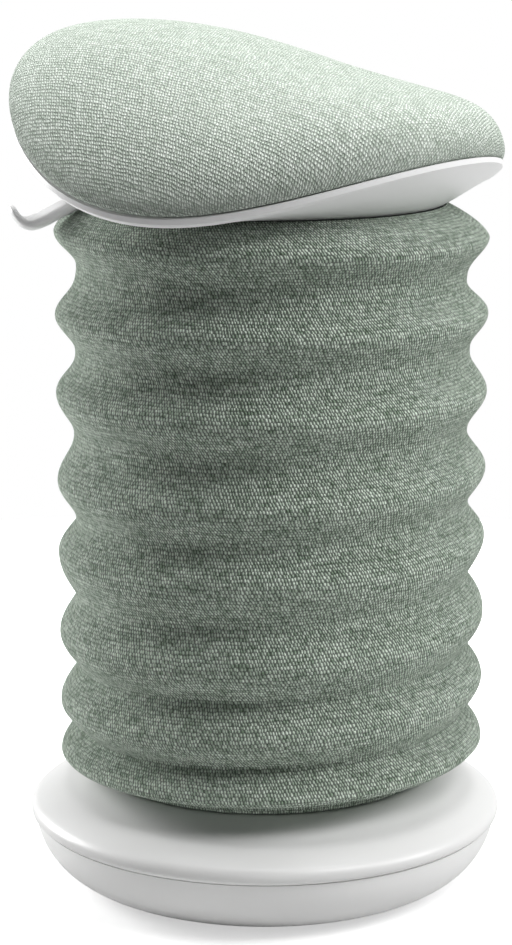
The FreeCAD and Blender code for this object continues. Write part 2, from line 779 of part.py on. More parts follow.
def seat_pan():
    start = pan_floor_radius
    under = pan_slope(start, lip_foot_share, 0)
    rim_out = ring(lambda a: edge_point(a, 1.0, lip_height - lip_undercut))
    rim_top = ring(lambda a: edge_point(a, 1.0, lip_gap + lip_corner))
    lip_out = ring(lambda a: saddle_point(a, lip_corner_share, -lip_gap))
    lip_in = ring(lambda a: saddle_point(a, lip_share, -lip_gap))
    inner = pan_slope(start - pan_wall, lip_share, pan_wall)
    inner.reverse()
    inside = [lip_in] + inner[:1]
    body = closed([under, [under[-1], rim_out], [rim_out, rim_top], [rim_top, lip_out],
                   [lip_out, lip_in], inside, inner])
    hole = disc(pan_hole_radius, pan_floor_height, plate_bottom)
    bolts = [disc(plate_bolt_radius + running_fit, pan_floor_height, plate_bottom, x, y)
             for x, y in plate_bolt_places()]
    bosses = []
    bores = []
    for x, y in board_screw_places():
        top = min(board_underside(x + dx, y + dy) for dx in (-board_boss_radius, board_boss_radius)
                  for dy in (-board_boss_radius, board_boss_radius)) - soft_gap
        bosses.append(disc(board_boss_radius, pan_floor_height + pan_wall / 2, top, x, y))
        bores.append(disc(board_screw_radius + running_fit, pan_floor_height, top, x, y))
    slot = Part.makeBox(slot_inner + slot_outer, lever_outer_width + 2 * tool_gap, 2 * slot_reach,
                        V(lever_bend[0] - slot_inner, -lever_outer_width / 2 - tool_gap,
                          pan_floor_height - slot_reach))
    slot.rotate(V(0, 0, 0), UP, lever_azimuth)
    return cut_all(fuse_all(body, bosses), [hole] + bolts + bores + [slot])


def edge_point(angle, share, below):
    """A point on the plan's edge pulled in to a share, at a depth below the saddle's edge."""
    point = saddle_point(angle, 1.0, -below)
    return plan_point(angle, share, point.z)


def sleeve_collar():
    top = pan_floor_height
    bottom = top - collar_depth
    wall = tube(collar_inner_radius, collar_radius, bottom, top)
    flange = tube(collar_inner_radius, collar_radius + collar_flange, bottom, bottom + collar_flange_height)
    return wall.fuse(flange).removeSplitter()


# Mechanism

def plate_bolt_places():
    x = plate_width / 2 - plate_bolt_edge_x
    y = plate_length / 2 - plate_bolt_edge_y
    return [(sx * x, sy * y) for sx in (-1, 1) for sy in (-1, 1)]


def along_lever(out, side, height):
    return lever_way * out + lever_side * side + UP * height


def lever_pin_shape(radius, half_length):
    return Part.makeCylinder(radius, 2 * half_length,
                             along_lever(lever_pivot_out, -half_length, lever_pivot_height), lever_side)


def mechanism_plate():
    plate = Part.makeBox(plate_width, plate_length, plate_thickness,
                         V(-plate_width / 2, -plate_length / 2, plate_bottom))
    upright = [e for e in plate.Edges if e.BoundBox.ZLength > plate_thickness / 2]
    plate = plate.makeFillet(plate_corner, upright)
    socket_bottom = plate_bottom - cone_socket_drop
    socket_top = cylinder_top - cone_standout
    socket = disc(cylinder_radius + cone_socket_wall, socket_bottom, socket_top)
    bore = cylinder_cone(seat_fit, socket_bottom, socket_top)
    ears = []
    for side in (-1, 1):
        inner = lever_inner_width / 2 + lever_side_gap
        near = inner if side > 0 else -inner - lever_ear_thickness
        block = Part.makeBox(2 * lever_eye_radius, lever_ear_thickness, lever_pivot_height - plate_bottom,
                             V(lever_pivot_out - lever_eye_radius, near, plate_bottom))
        block.rotate(V(0, 0, 0), UP, lever_azimuth)
        start = along_lever(lever_pivot_out, near, lever_pivot_height)
        ears.append(block.fuse(Part.makeCylinder(lever_eye_radius, lever_ear_thickness, start, lever_side)))
    body = fuse_all(plate, [socket] + ears)
    holes = [disc(plate_bolt_radius + running_fit, plate_bottom, plate_top, x, y)
             for x, y in plate_bolt_places()]
    pin_hole = lever_pin_shape(lever_pin_radius + seat_fit, lever_inner_width)
    return cut_all(body, [bore] + holes + [pin_hole])


def plate_bolts():
    bolts = []
    for x, y in plate_bolt_places():
        shank = disc(plate_bolt_radius, pan_floor_height, plate_top + plate_nut_height + plate_bolt_end, x, y)
        head = disc(2 * plate_bolt_radius, pan_floor_height - plate_bolt_head, pan_floor_height, x, y)
        recess = disc(plate_bolt_radius / 2, pan_floor_height - plate_bolt_head,
                      pan_floor_height - plate_bolt_head / 2, x, y)
        bolts.append(shank.fuse(head).removeSplitter().cut(recess))
    return Part.makeCompound(bolts)


def plate_nuts():
    nuts = []
    for x, y in plate_bolt_places():
        corner = plate_nut_across / math.sqrt(3)
        points = [V(x + corner * math.cos(math.pi * i / 3), y + corner * math.sin(math.pi * i / 3), plate_top)
                  for i in range(7)]
        nut = Part.Face(Part.makePolygon(points)).extrude(V(0, 0, plate_nut_height))
        bore = disc(plate_bolt_radius + running_fit, plate_top, plate_top + plate_nut_height, x, y)
        nuts.append(nut.cut(bore))
    return Part.makeCompound(nuts)


def board_screws():
    screws = []
    for x, y in board_screw_places():
        top = board_underside(x, y) + board_screw_bite
        shank = disc(board_screw_radius - running_fit, pan_floor_height, top, x, y)
        head = disc(2 * board_screw_radius, pan_floor_height - board_screw_head, pan_floor_height, x, y)
        screws.append(shank.fuse(head).removeSplitter())
    return Part.makeCompound(screws)


def lever_profile():
    """Side outline of the lever: a straight arm, two bends and a dished paddle with an upturned end."""
    half = lever_thickness / 2
    pivot = (lever_pivot_out, lever_pivot_height)
    top = [(-lever_nose_in, pivot[1] + half)]
    top += [(out, height + half) for out, height in (pivot, lever_shoulder, lever_bend)]
    top.append((lever_root[0] + lever_root_offset[0], lever_root[1] + half + lever_root_offset[1]))
    bottom = [(out, height - half) for out, height in (lever_root, lever_bend, lever_shoulder, pivot)]
    bottom.append((-lever_nose_in, pivot[1] - half + lever_nose_taper))
    tip_top = (lever_tip[0] - lever_tip_edge[0], lever_tip[1] + lever_tip_edge[1])
    tip = (lever_tip[0], lever_tip[1] + lever_tip_edge[2])
    dish = (lever_dish[0] + lever_dish_offset[0], lever_dish[1] + half + lever_dish_offset[1])
    bowl = (lever_dish[0] + lever_bowl_offset, lever_dish[1])
    edges = [line(top[i], top[i + 1]) for i in range(len(top) - 1)]
    edges += [arc(top[-1], dish, tip_top), line(tip_top, tip), arc(tip, bowl, bottom[0])]
    edges += [line(bottom[i], bottom[i + 1]) for i in range(len(bottom) - 1)]
    edges.append(line(bottom[-1], top[0]))
    return Part.Face(Part.Wire(edges))


def lever_plan():
    """Plan outline of the lever: narrow at its pivot, wide and round-ended outside the pan."""
    narrow = lever_inner_width / 2
    wide = lever_outer_width / 2
    neck = lever_shoulder[0] - lever_widening_end
    near = [V(-lever_nose_in, -narrow, 0), V(neck - lever_widening, -narrow, 0),
            V(neck, -wide + lever_corner, 0), V(lever_tip[0] - wide, -wide, 0)]
    far = [V(p.x, -p.y, 0) for p in reversed(near)]
    edges = [Part.LineSegment(near[i], near[i + 1]).toShape() for i in range(3)]
    edges.append(Part.Arc(near[-1], V(lever_tip[0], 0, 0), far[0]).toShape())
    edges += [Part.LineSegment(far[i], far[i + 1]).toShape() for i in range(3)]
    edges.append(Part.LineSegment(far[-1], near[0]).toShape())
    return Part.Face(Part.Wire(edges))


def lever():
    profile = lever_profile()
    profile.translate(V(0, -lever_outer_width, 0))
    blade = profile.extrude(V(0, 2 * lever_outer_width, 0))
    body = blade.common(lever_plan().extrude(V(0, 0, 2 * lever_pivot_height)))
    start = V(lever_pivot_out, -lever_inner_width / 2, lever_pivot_height)
    eye = Part.makeCylinder(lever_eye_radius, lever_inner_width, start, V(0, 1, 0))
    bore = Part.makeCylinder(lever_pin_radius + running_fit, lever_inner_width, start, V(0, 1, 0))
    body = body.fuse(eye).removeSplitter().cut(bore)
    body.rotate(V(0, 0, 0), UP, lever_azimuth)
    return body


def lever_pin():
    return lever_pin_shape(lever_pin_radius,
                           lever_inner_width / 2 + lever_side_gap + lever_ear_thickness + lever_pin_end)


# Sleeve

def sleeve_hoop(index):
    angle = math.radians(hoop_leans[index])
    normal = UP * math.cos(angle) - lean * math.sin(angle)
    centre = lean * sleeve_shift + UP * hoop_heights[index]
    return Part.makeTorus(hoop_radius, hoop_wire_radius, centre, normal)


def blend(a, b, share):
    return a + (b - a) * share


def cloth_tube(stations):
    """Thin knitted wall through circles: (height, radius, lean, share of the sleeve's shift)."""
    walls = []
    for inset in (0.0, knit_thickness):
        wires = []
        for height, radius, angle, shift in stations:
            tip = math.radians(angle)
            normal = UP * math.cos(tip) - lean * math.sin(tip)
            wires.append(circle_wire(lean * (sleeve_shift * shift) + UP * height, normal, radius - inset))
        walls.append(Part.makeLoft(wires, True, False))
    return walls[0].cut(walls[1])


def circle_wire(centre, normal, radius):
    """A circle whose start lies on a steady X axis, so neighbouring circles line up."""
    side = normal.cross(V(1, 0, 0)).normalize()
    start = side.cross(normal).normalize()
    p = [centre + start * (radius * math.cos(a)) + side * (radius * math.sin(a))
         for a in (0, math.pi / 3, 2 * math.pi / 3, math.pi, 4 * math.pi / 3, 5 * math.pi / 3)]
    edges = [Part.Arc(p[0], p[1], p[2]).toShape(), Part.Arc(p[2], p[3], p[4]).toShape(),
             Part.Arc(p[4], p[5], p[0]).toShape()]
    return Part.Wire(edges)


def span_panel(index):
    """Knit between two neighbouring hoops: crest, valley, crest."""
    low = hoop_heights[index] + soft_gap / 2
    high = hoop_heights[index + 1] - soft_gap / 2
    stations = []
    for i in range(panel_rings):
        share = i / (panel_rings - 1.0)
        swell = abs(math.cos(math.pi * share)) ** valley_sharpness[index]
        radius = crest_radius - valley_depths[index] * (1 - swell)
        stations.append((blend(low, high, share), radius,
                         blend(hoop_leans[index], hoop_leans[index + 1], share), 1.0))
    return cloth_tube(stations)


def hem_panel():
    """Knit from the ring on the base up and out to the lowest hoop."""
    stations = []
    high = hoop_heights[0] - soft_gap / 2
    for i in range(end_rings):
        share = i / (end_rings - 1.0)
        radius = blend(hem_radius, crest_radius, math.sin(share * math.pi / 2))
        height = blend(hem_bottom, high, share ** hem_rise_power)
        stations.append((height, radius, hoop_leans[0] * share, share))
    return cloth_tube(stations)


def neck_panel():
    """Knit from the top hoop up and in to the ring under the seat."""
    stations = []
    low = hoop_heights[-1] + soft_gap / 2
    for i in range(end_rings):
        share = i / (end_rings - 1.0)
        radius = blend(crest_radius, sleeve_top_radius, share ** neck_power)
        stations.append((blend(low, ring_top, share), radius, hoop_leans[-1] * (1 - share), 1 - share))
    return cloth_tube(stations)


def hem_ring():
    outer = hem_radius - knit_thickness - soft_gap
    return tube(outer - hem_ring_width, outer, hem_seat_height, hem_seat_height + hem_ring_height)


def top_ring():
    return tube(ring_inner, ring_outer, ring_bottom, ring_top)


def build():
    os.makedirs("parts", exist_ok=True)
    makers = (base_shell, foot_ring, base_cover, cover_screws, ballast_plate, base_yoke, yoke_bolts,
              base_cups, pivot_cross, column_cups, tilt_buffer, column_foot, stand_tube, guide_bush,
              thrust_bearing, piston_rod, rod_clip, gas_cylinder, valve_pin, seat_pad, seat_board,
              seat_pan, sleeve_collar, mechanism_plate, plate_bolts, plate_nuts, board_screws, lever,
              lever_pin, hem_ring, top_ring, hem_panel, neck_panel)
    for maker in makers:
        save(maker.__name__, maker())
    for index in range(len(hoop_heights)):
        save("hoop_%d" % (index + 1), sleeve_hoop(index))
    for index in range(len(hoop_heights) - 1):
        save("panel_%d" % (index + 1), span_panel(index))


build()
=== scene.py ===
# %% [markdown]
# # A wobble stool in a knitted sleeve
#
# The stool has a round weighted base, a bellows of green melange knit held open by hoops, and a saddle
# seat in a shallow white pan. A lever under the seat sets its height.
#
# The imported CAD model comes in first and stays as it is. What is hard in the real object, such as the
# shell, the pan and everything inside the sleeve, keeps its CAD shape and gets a finish here. What is soft,
# the sleeve and the pad, is made again as finer meshes that sit where their plain solids are. So are the
# cover, for its long polished sweep, and the lever, for its dished end.

# %% Load the frame
import math

import bpy
import numpy as np
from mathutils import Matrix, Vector


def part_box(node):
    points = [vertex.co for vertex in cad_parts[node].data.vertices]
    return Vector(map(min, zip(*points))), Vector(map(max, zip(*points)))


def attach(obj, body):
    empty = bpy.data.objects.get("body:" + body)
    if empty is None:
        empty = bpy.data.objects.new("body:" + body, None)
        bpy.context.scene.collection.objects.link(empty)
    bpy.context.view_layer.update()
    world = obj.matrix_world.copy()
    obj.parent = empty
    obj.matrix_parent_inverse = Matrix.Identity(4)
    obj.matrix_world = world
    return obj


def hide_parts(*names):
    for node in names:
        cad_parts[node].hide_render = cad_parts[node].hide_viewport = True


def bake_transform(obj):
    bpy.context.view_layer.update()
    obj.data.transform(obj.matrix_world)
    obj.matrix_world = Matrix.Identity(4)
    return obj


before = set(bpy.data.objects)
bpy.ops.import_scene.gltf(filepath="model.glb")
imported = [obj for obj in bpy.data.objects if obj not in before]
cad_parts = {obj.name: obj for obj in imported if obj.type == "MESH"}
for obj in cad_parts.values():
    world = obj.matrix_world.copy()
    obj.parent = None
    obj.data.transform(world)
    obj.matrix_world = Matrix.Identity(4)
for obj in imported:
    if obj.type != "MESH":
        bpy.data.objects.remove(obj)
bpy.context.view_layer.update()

MM = 0.001

# %% [markdown]
# ## Camera
#
# The photograph is a product shot from about two metres, a little above the seat, through a long lens.
# A fit of the base's ellipse and the seat's outline gave the place. Blender measures the lens against a
# 36 mm sensor along the picture's longer side.

# %% Camera
view_heading = math.radians(-53.9)
degrees_down = 11.8
camera_aside, camera_back, camera_height = -0.0071, 2.009, 0.7464
sensor_side, lens_length = 36.0, 98.67
to_right = Vector((math.cos(view_heading), math.sin(view_heading), 0))
away = Vector((-math.sin(view_heading), math.cos(view_heading), 0))

lens = bpy.data.cameras.new("photo_camera")
lens.sensor_fit = "AUTO"
lens.sensor_width = sensor_side
lens.lens = lens_length
camera = bpy.data.objects.new("photo_camera", lens)
camera.location = to_right * camera_aside - away * camera_back + Vector((0, 0, camera_height))
camera.rotation_euler = (math.radians(90 - degrees_down), 0, view_heading)
bpy.context.scene.collection.objects.link(camera)
bpy.context.scene.camera = camera
print("camera stands", round(camera.location.length, 3), "m from the foot of the stool")

# %% [markdown]
# ## Lamps
#
# The photograph's main light comes from the right and in front, high up. A soft light overhead clears the
# seat, and one behind the stool's left edge draws a bright rim down the sleeve. Big round lamps give the
# broad, soft-edged shading of a light tent.

# %% Lamps
def area_lamp(name, aim, right, far, up, size, watts):
    """A round lamp, placed from what it aims at: to the right, away from the camera and up."""
    data = bpy.data.lights.new(name, "AREA")
    data.shape = "DISK"
    data.size = size
    data.energy = watts
    lamp = bpy.data.objects.new(name, data)
    lamp.location = aim + to_right * right + away * far + Vector((0, 0, up))
    lamp.rotation_euler = (aim - lamp.location).to_track_quat("-Z", "Y").to_euler()
    bpy.context.scene.collection.objects.link(lamp)


sleeve_place = Vector((0, 0, 0.36))
seat_place = Vector((0, 0, 0.60))
area_lamp("key_right", sleeve_place, right=1.9, far=-0.35, up=0.95, size=0.9, watts=22)
area_lamp("key_front_right", sleeve_place, right=1.1, far=-1.0, up=1.7, size=0.8, watts=20)
area_lamp("top_soft", seat_place, right=0.1, far=0.1, up=1.25, size=1.2, watts=26)
area_lamp("rim_left", sleeve_place, right=-1.5, far=0.75, up=0.35, size=0.9, watts=30)

# %% [markdown]
# ## White ground
#
# The picture's ground is plain white, and yet it mustn't light the stool, or every fold of the knit would
# fade. So the world is nearly dark to all but three kinds of ray: those of the camera, of mirrors and of
# glass see it white. The floor is a disc that is lit like any other thing, and for the camera alone it adds
# a white of its own. That is weaker close to the stool, where the shadow has to show, and full further out,
# where the disc meets the white of the world.

# %% Helpers for materials
def fresh_material(name):
    material = bpy.data.materials.new(name)
    material.use_nodes = True
    material.node_tree.nodes.clear()
    return material, material.node_tree


def add(tree, kind, **values):
    """A node of a kind, with its settings and its inputs' values by name."""
    node = tree.nodes.new(kind)
    for key, value in values.items():
        if key in node.inputs:
            node.inputs[key].default_value = value
        else:
            setattr(node, key, value)
    return node


def set_inputs(node, amounts):
    """Set a node's inputs by name, for names with blanks in them."""
    for label, amount in amounts.items():
        node.inputs[label].default_value = amount


# %% The world
white = (1, 1, 1, 1)
tent_strength, ground_strength = 0.04, 1.0
world = bpy.data.worlds.new("light_tent")
bpy.context.scene.world = world
world.use_nodes = True
sky = world.node_tree
sky.nodes.clear()
ray = add(sky, "ShaderNodeLightPath")
seen_or_mirrored = add(sky, "ShaderNodeMath", operation="MAXIMUM")
seen_mirrored_or_through = add(sky, "ShaderNodeMath", operation="MAXIMUM")
tent = add(sky, "ShaderNodeBackground", Color=white, Strength=tent_strength)
ground_white = add(sky, "ShaderNodeBackground", Color=white, Strength=ground_strength)
either = add(sky, "ShaderNodeMixShader")
sky_out = add(sky, "ShaderNodeOutputWorld")
sky.links.new(ray.outputs["Is Camera Ray"], seen_or_mirrored.inputs[0])
sky.links.new(ray.outputs["Is Glossy Ray"], seen_or_mirrored.inputs[1])
sky.links.new(seen_or_mirrored.outputs[0], seen_mirrored_or_through.inputs[0])
sky.links.new(ray.outputs["Is Transmission Ray"], seen_mirrored_or_through.inputs[1])
sky.links.new(seen_mirrored_or_through.outputs[0], either.inputs[0])
sky.links.new(tent.outputs[0], either.inputs[1])
sky.links.new(ground_white.outputs[0], either.inputs[2])
sky.links.new(either.outputs[0], sky_out.inputs[0])
bpy.context.scene.view_settings.view_transform = "Standard"
print("world: strength", tent_strength, "for light,", ground_strength, "for camera, mirrors and glass")

# %% The floor
floor_radius, floor_sides = 1.3, 96
floor_colour = (0.75, 0.75, 0.75, 1)
own_white = {"From Min": 0.22, "From Max": 0.6, "To Min": 0.54, "To Max": 1.0}
bpy.ops.mesh.primitive_circle_add(vertices=floor_sides, radius=floor_radius, fill_type="NGON",
                                  location=(0, 0, 0))
floor = bpy.context.object
floor.name = "studio_floor"
floor_material, tree = fresh_material("studio_white")
matt = add(tree, "ShaderNodeBsdfDiffuse", Color=floor_colour)
floor_place = add(tree, "ShaderNodeTexCoord")
from_centre = add(tree, "ShaderNodeVectorMath", operation="LENGTH")
grow = add(tree, "ShaderNodeMapRange")
set_inputs(grow, own_white)
glow = add(tree, "ShaderNodeEmission", Color=white)
both = add(tree, "ShaderNodeAddShader")
ray = add(tree, "ShaderNodeLightPath")
choose = add(tree, "ShaderNodeMixShader")
floor_out = add(tree, "ShaderNodeOutputMaterial")
tree.links.new(floor_place.outputs["Object"], from_centre.inputs[0])
tree.links.new(from_centre.outputs["Value"], grow.inputs["Value"])
tree.links.new(grow.outputs[0], glow.inputs["Strength"])
tree.links.new(matt.outputs[0], both.inputs[0])
tree.links.new(glow.outputs[0], both.inputs[1])
tree.links.new(ray.outputs["Is Camera Ray"], choose.inputs[0])
tree.links.new(matt.outputs[0], choose.inputs[1])
tree.links.new(both.outputs[0], choose.inputs[2])
tree.links.new(choose.outputs[0], floor_out.inputs["Surface"])
floor.data.materials.append(floor_material)
print("floor:", floor_radius, "m in radius")

# %% [markdown]
# ## Node groups
#
# Three effects serve more than one material here: the knit, the unevenness of moulded plastic, and the
# marks of turning on metal. Each is a shader node group with named sockets. A few helpers keep the sums in
# these groups short enough to be read.

# %% Helpers for node groups
def new_group(name, inputs, outputs):
    """An empty shader group with named sockets: (tree, its input node, its output node)."""
    group = bpy.data.node_groups.new(name, "ShaderNodeTree")
    for label, kind, value in inputs:
        socket = group.interface.new_socket(label, in_out="INPUT", socket_type=kind)
        if value is not None:
            socket.default_value = value
    for label, kind in outputs:
        group.interface.new_socket(label, in_out="OUTPUT", socket_type=kind)
    return group, group.nodes.new("NodeGroupInput"), group.nodes.new("NodeGroupOutput")


def calc(tree, operation, *terms, clamp=False):
    """One Math node. Each term is a number or another node's output."""
    node = tree.nodes.new("ShaderNodeMath")
    node.operation = operation
    node.use_clamp = clamp
    for place, term in enumerate(terms):
        if isinstance(term, (int, float)):
            node.inputs[place].default_value = term
        else:
            tree.links.new(term, node.inputs[place])
    return node.outputs[0]


def swing(tree, noise, amount):
    """Noise between 0 and 1 turned into a swing about zero that is as wide as the amount."""
    return calc(tree, "MULTIPLY", calc(tree, "SUBTRACT", noise, 0.5), amount)


def mix_colour(tree, share, low, high, blend="MIX"):
    node = add(tree, "ShaderNodeMix", data_type="RGBA", blend_type=blend)
    factor, first, second, mixed = node.inputs[0], node.inputs[6], node.inputs[7], node.outputs[2]
    for term, socket in ((share, factor), (low, first), (high, second)):
        if isinstance(term, float):
            socket.default_value = term
        else:
            tree.links.new(term, socket)
    return mixed


def dimmed(tree, colour, factor):
    """A colour made lighter or darker by a value."""
    grey = add(tree, "ShaderNodeCombineColor")
    for channel in range(3):
        tree.links.new(factor, grey.inputs[channel])
    return mix_colour(tree, 1.0, colour, grey.outputs[0], "MULTIPLY")


print("helpers for node groups are ready")

# %% [markdown]
# ## The knit
#
# Up close the cloth is rows of short slanted stitches, about two and a half millimetres by nearly three, of
# a light and a dark green-grey yarn spun together. Two things make it look like melange rather than plain
# green: every stitch is a little lighter or darker than the next, and along a row the yarn drifts from
# light to dark over some centimetres.
#
# A shader node group draws this once for the sleeve and the pad. Its input is a place on the cloth counted
# in stitches and rows, so the rows follow the cloth wherever it bends. A colour and a height come out. The
# height drives a bump, because a stitch is too small, and there are too many, to be modelled.

# %% The knit's node group
knit_group, given, made = new_group(
    "melange_knit",
    [("Cloth Place", "NodeSocketVector", None), ("Light Yarn", "NodeSocketColor", (0.5, 0.5, 0.5, 1)),
     ("Dark Yarn", "NodeSocketColor", (0.1, 0.1, 0.1, 1)), ("Gap Shade", "NodeSocketFloat", 0.4),
     ("Stitch Contrast", "NodeSocketFloat", 0.5), ("Row Drift", "NodeSocketFloat", 0.5),
     ("Stitch Slant", "NodeSocketFloat", -1.0), ("Unevenness", "NodeSocketFloat", 0.3)],
    [("Colour", "NodeSocketColor"), ("Height", "NodeSocketFloat"), ("Roughness", "NodeSocketFloat")])
print("melange_knit takes", [socket.name for socket in given.outputs if socket.name])

# %% [markdown]
# No knit runs in dead straight rows. So slow noise moves each place on the cloth by up to about half a
# stitch, before it is sorted into its stitch and row. Every other row is then set off by half a stitch.

# %% Sort a place on the cloth into its stitch
tree = knit_group
waver_scale, waver_stitches, waver_rows = 0.16, 1.3, 0.9
waver = add(tree, "ShaderNodeTexNoise", Scale=waver_scale, Detail=2.0, noise_dimensions="2D")
centred = add(tree, "ShaderNodeVectorMath", operation="SUBTRACT")
centred.inputs[1].default_value = (0.5, 0.5, 0.5)
wavered = add(tree, "ShaderNodeVectorMath", operation="MULTIPLY")
wavered.inputs[1].default_value = (waver_stitches, waver_rows, 0.0)
placed = add(tree, "ShaderNodeVectorMath", operation="ADD")
tree.links.new(given.outputs["Cloth Place"], waver.inputs["Vector"])
tree.links.new(waver.outputs["Color"], centred.inputs[0])
tree.links.new(centred.outputs[0], wavered.inputs[0])
tree.links.new(given.outputs["Cloth Place"], placed.inputs[0])
tree.links.new(wavered.outputs[0], placed.inputs[1])
split = add(tree, "ShaderNodeSeparateXYZ")
tree.links.new(placed.outputs[0], split.inputs[0])
in_stitches, in_rows = split.outputs[0], split.outputs[1]
row = calc(tree, "FLOOR", in_rows)
odd_row = calc(tree, "PINGPONG", row, 1.0)
shifted = calc(tree, "ADD", in_stitches, calc(tree, "MULTIPLY", odd_row, 0.5))
stitch = calc(tree, "FLOOR", shifted)
print("nodes so far, to sort a place into its stitch:", len(tree.nodes))

# %% Give each stitch its own three chances
cell = add(tree, "ShaderNodeCombineXYZ")
tree.links.new(stitch, cell.inputs[0])
tree.links.new(row, cell.inputs[1])
chance = add(tree, "ShaderNodeTexWhiteNoise", noise_dimensions="2D")
tree.links.new(cell.outputs[0], chance.inputs["Vector"])
chances = add(tree, "ShaderNodeSeparateColor")
tree.links.new(chance.outputs["Color"], chances.inputs[0])
nudge_along = swing(tree, chances.outputs[0], given.outputs["Unevenness"])
nudge_up = swing(tree, chances.outputs[1], given.outputs["Unevenness"])
fleck = swing(tree, chances.outputs[2], given.outputs["Stitch Contrast"])
print("nodes so far, with the chances:", len(tree.nodes))

# %% [markdown]
# A stitch is a small slanted cushion: half an ellipsoid, highest in its middle and gone at its edge. Its
# middle is nudged by two of the chances, and its long way is turned by the slant.

# %% Shape one stitch
half_length, half_width = 0.62, 0.37
along = calc(tree, "ADD", calc(tree, "SUBTRACT", calc(tree, "FRACT", shifted), 0.5), nudge_along)
up_row = calc(tree, "ADD", calc(tree, "SUBTRACT", calc(tree, "FRACT", in_rows), 0.5), nudge_up)
cosine = calc(tree, "COSINE", given.outputs["Stitch Slant"])
sine = calc(tree, "SINE", given.outputs["Stitch Slant"])
length_way = calc(tree, "ADD", calc(tree, "MULTIPLY", along, cosine), calc(tree, "MULTIPLY", up_row, sine))
width_way = calc(tree, "SUBTRACT", calc(tree, "MULTIPLY", up_row, cosine),
                 calc(tree, "MULTIPLY", along, sine))
squares = []
for way, half in ((length_way, half_length), (width_way, half_width)):
    share_out = calc(tree, "DIVIDE", calc(tree, "ABSOLUTE", way), half)
    squares.append(calc(tree, "POWER", share_out, 2.0))
inside = calc(tree, "MAXIMUM", calc(tree, "SUBTRACT", 1.0, calc(tree, "ADD", *squares)), 0.0)
height = calc(tree, "SQRT", inside)
print("nodes so far, with a stitch's shape:", len(tree.nodes))

# %% Colour the yarn and paint shade into the gaps
drift_stretch = (0.11, 0.85, 1.0)
mean_lightness = 0.55
stretched = add(tree, "ShaderNodeMapping", Scale=drift_stretch)
tree.links.new(given.outputs["Cloth Place"], stretched.inputs["Vector"])
drift = add(tree, "ShaderNodeTexNoise", Scale=1.0, Detail=2.5, Roughness=0.6, noise_dimensions="2D")
tree.links.new(stretched.outputs[0], drift.inputs["Vector"])
wander = swing(tree, drift.outputs["Fac"], given.outputs["Row Drift"])
lightness = calc(tree, "ADD", calc(tree, "ADD", wander, fleck), mean_lightness, clamp=True)
yarn = mix_colour(tree, lightness, given.outputs["Dark Yarn"], given.outputs["Light Yarn"])
# Painted shade: the colour is darkened in the gaps between stitches, where shade falls; Gap Shade sets how
# dark it gets.
above_gap = calc(tree, "MULTIPLY", height, calc(tree, "SUBTRACT", 1.0, given.outputs["Gap Shade"]))
shade = calc(tree, "ADD", above_gap, given.outputs["Gap Shade"], clamp=True)
tree.links.new(dimmed(tree, yarn, shade), made.inputs["Colour"])
print("nodes so far, with its colour:", len(tree.nodes))

# %% Let light yarn stand a little higher and shine a little more
fleck_rise, dull, gloss_of_light = 0.3, 0.95, -0.1
tree.links.new(calc(tree, "ADD", height, calc(tree, "MULTIPLY", fleck, fleck_rise)), made.inputs["Height"])
tree.links.new(calc(tree, "ADD", calc(tree, "MULTIPLY", lightness, gloss_of_light), dull),
               made.inputs["Roughness"])
print("melange_knit has", len(tree.nodes), "nodes")

# %% [markdown]
# A material holds the group, a bump and the shader. The group feeds what changes over the surface. What is
# the same all over is set on the shader itself, where the export can read it.
#
# The sleeve is knitted more openly than the pad, and its gaps are painted in darker shade; its stitches
# stand steeper. The pad's yarns are painted lighter and paler than the sleeve's, for the strong light on its
# top, so the sleeve's light and dark yarn differ more. Both cloths are a little fuzzy, which a faint
# greenish sheen gives.

# %% A material made from a group
def material_from_group(name, group, amounts, relief, relief_depth, shader_amounts, uv_map=None):
    """A material that takes its colour, roughness and bump from a group, and all else as plain amounts."""
    material, tree = fresh_material(name)
    if uv_map:
        place = add(tree, "ShaderNodeUVMap", uv_map=uv_map).outputs["UV"]
    else:
        place = add(tree, "ShaderNodeTexCoord").outputs["Object"]
    surface = add(tree, "ShaderNodeGroup", node_tree=group)
    set_inputs(surface, amounts)
    bump = add(tree, "ShaderNodeBump", Strength=relief, Distance=relief_depth)
    shader = add(tree, "ShaderNodeBsdfPrincipled")
    set_inputs(shader, shader_amounts)
    out = add(tree, "ShaderNodeOutputMaterial")
    tree.links.new(place, surface.inputs[0])
    tree.links.new(surface.outputs["Colour"], shader.inputs["Base Color"])
    tree.links.new(surface.outputs["Roughness"], shader.inputs["Roughness"])
    tree.links.new(surface.outputs["Height"], bump.inputs["Height"])
    tree.links.new(bump.outputs[0], shader.inputs["Normal"])
    tree.links.new(shader.outputs[0], out.inputs["Surface"])
    return material


print("each group goes into its materials by material_from_group")

# %% Knit materials
knit_relief, knit_depth = 1.0, 1.5 * MM
fuzz = {"Specular IOR Level": 0.2, "Sheen Weight": 0.35, "Sheen Roughness": 0.5,
        "Sheen Tint": (0.85, 0.95, 0.85, 1)}
sleeve_amounts = {
    "Light Yarn": (0.86, 0.97, 0.85, 1), "Dark Yarn": (0.21, 0.30, 0.205, 1), "Gap Shade": 0.26,
    "Stitch Contrast": 0.65, "Row Drift": 1.2, "Stitch Slant": math.radians(-72), "Unevenness": 0.3}
# Painted light: the pad's yarns are lighter and paler than the sleeve's, and its gaps less shaded, for the
# strong light on its top.
pad_amounts_painted_lighter = {
    "Light Yarn": (0.83, 0.90, 0.825, 1), "Dark Yarn": (0.40, 0.48, 0.395, 1), "Gap Shade": 0.56,
    "Stitch Contrast": 0.55, "Row Drift": 0.9, "Stitch Slant": math.radians(-50), "Unevenness": 0.3}
sleeve_knit = material_from_group("sleeve_knit", knit_group, sleeve_amounts, knit_relief, knit_depth,
                                  fuzz, uv_map="knit")
pad_knit = material_from_group("pad_knit", knit_group, pad_amounts_painted_lighter, knit_relief, knit_depth,
                               fuzz, uv_map="knit")
print("knit materials:", sleeve_knit.name, pad_knit.name)
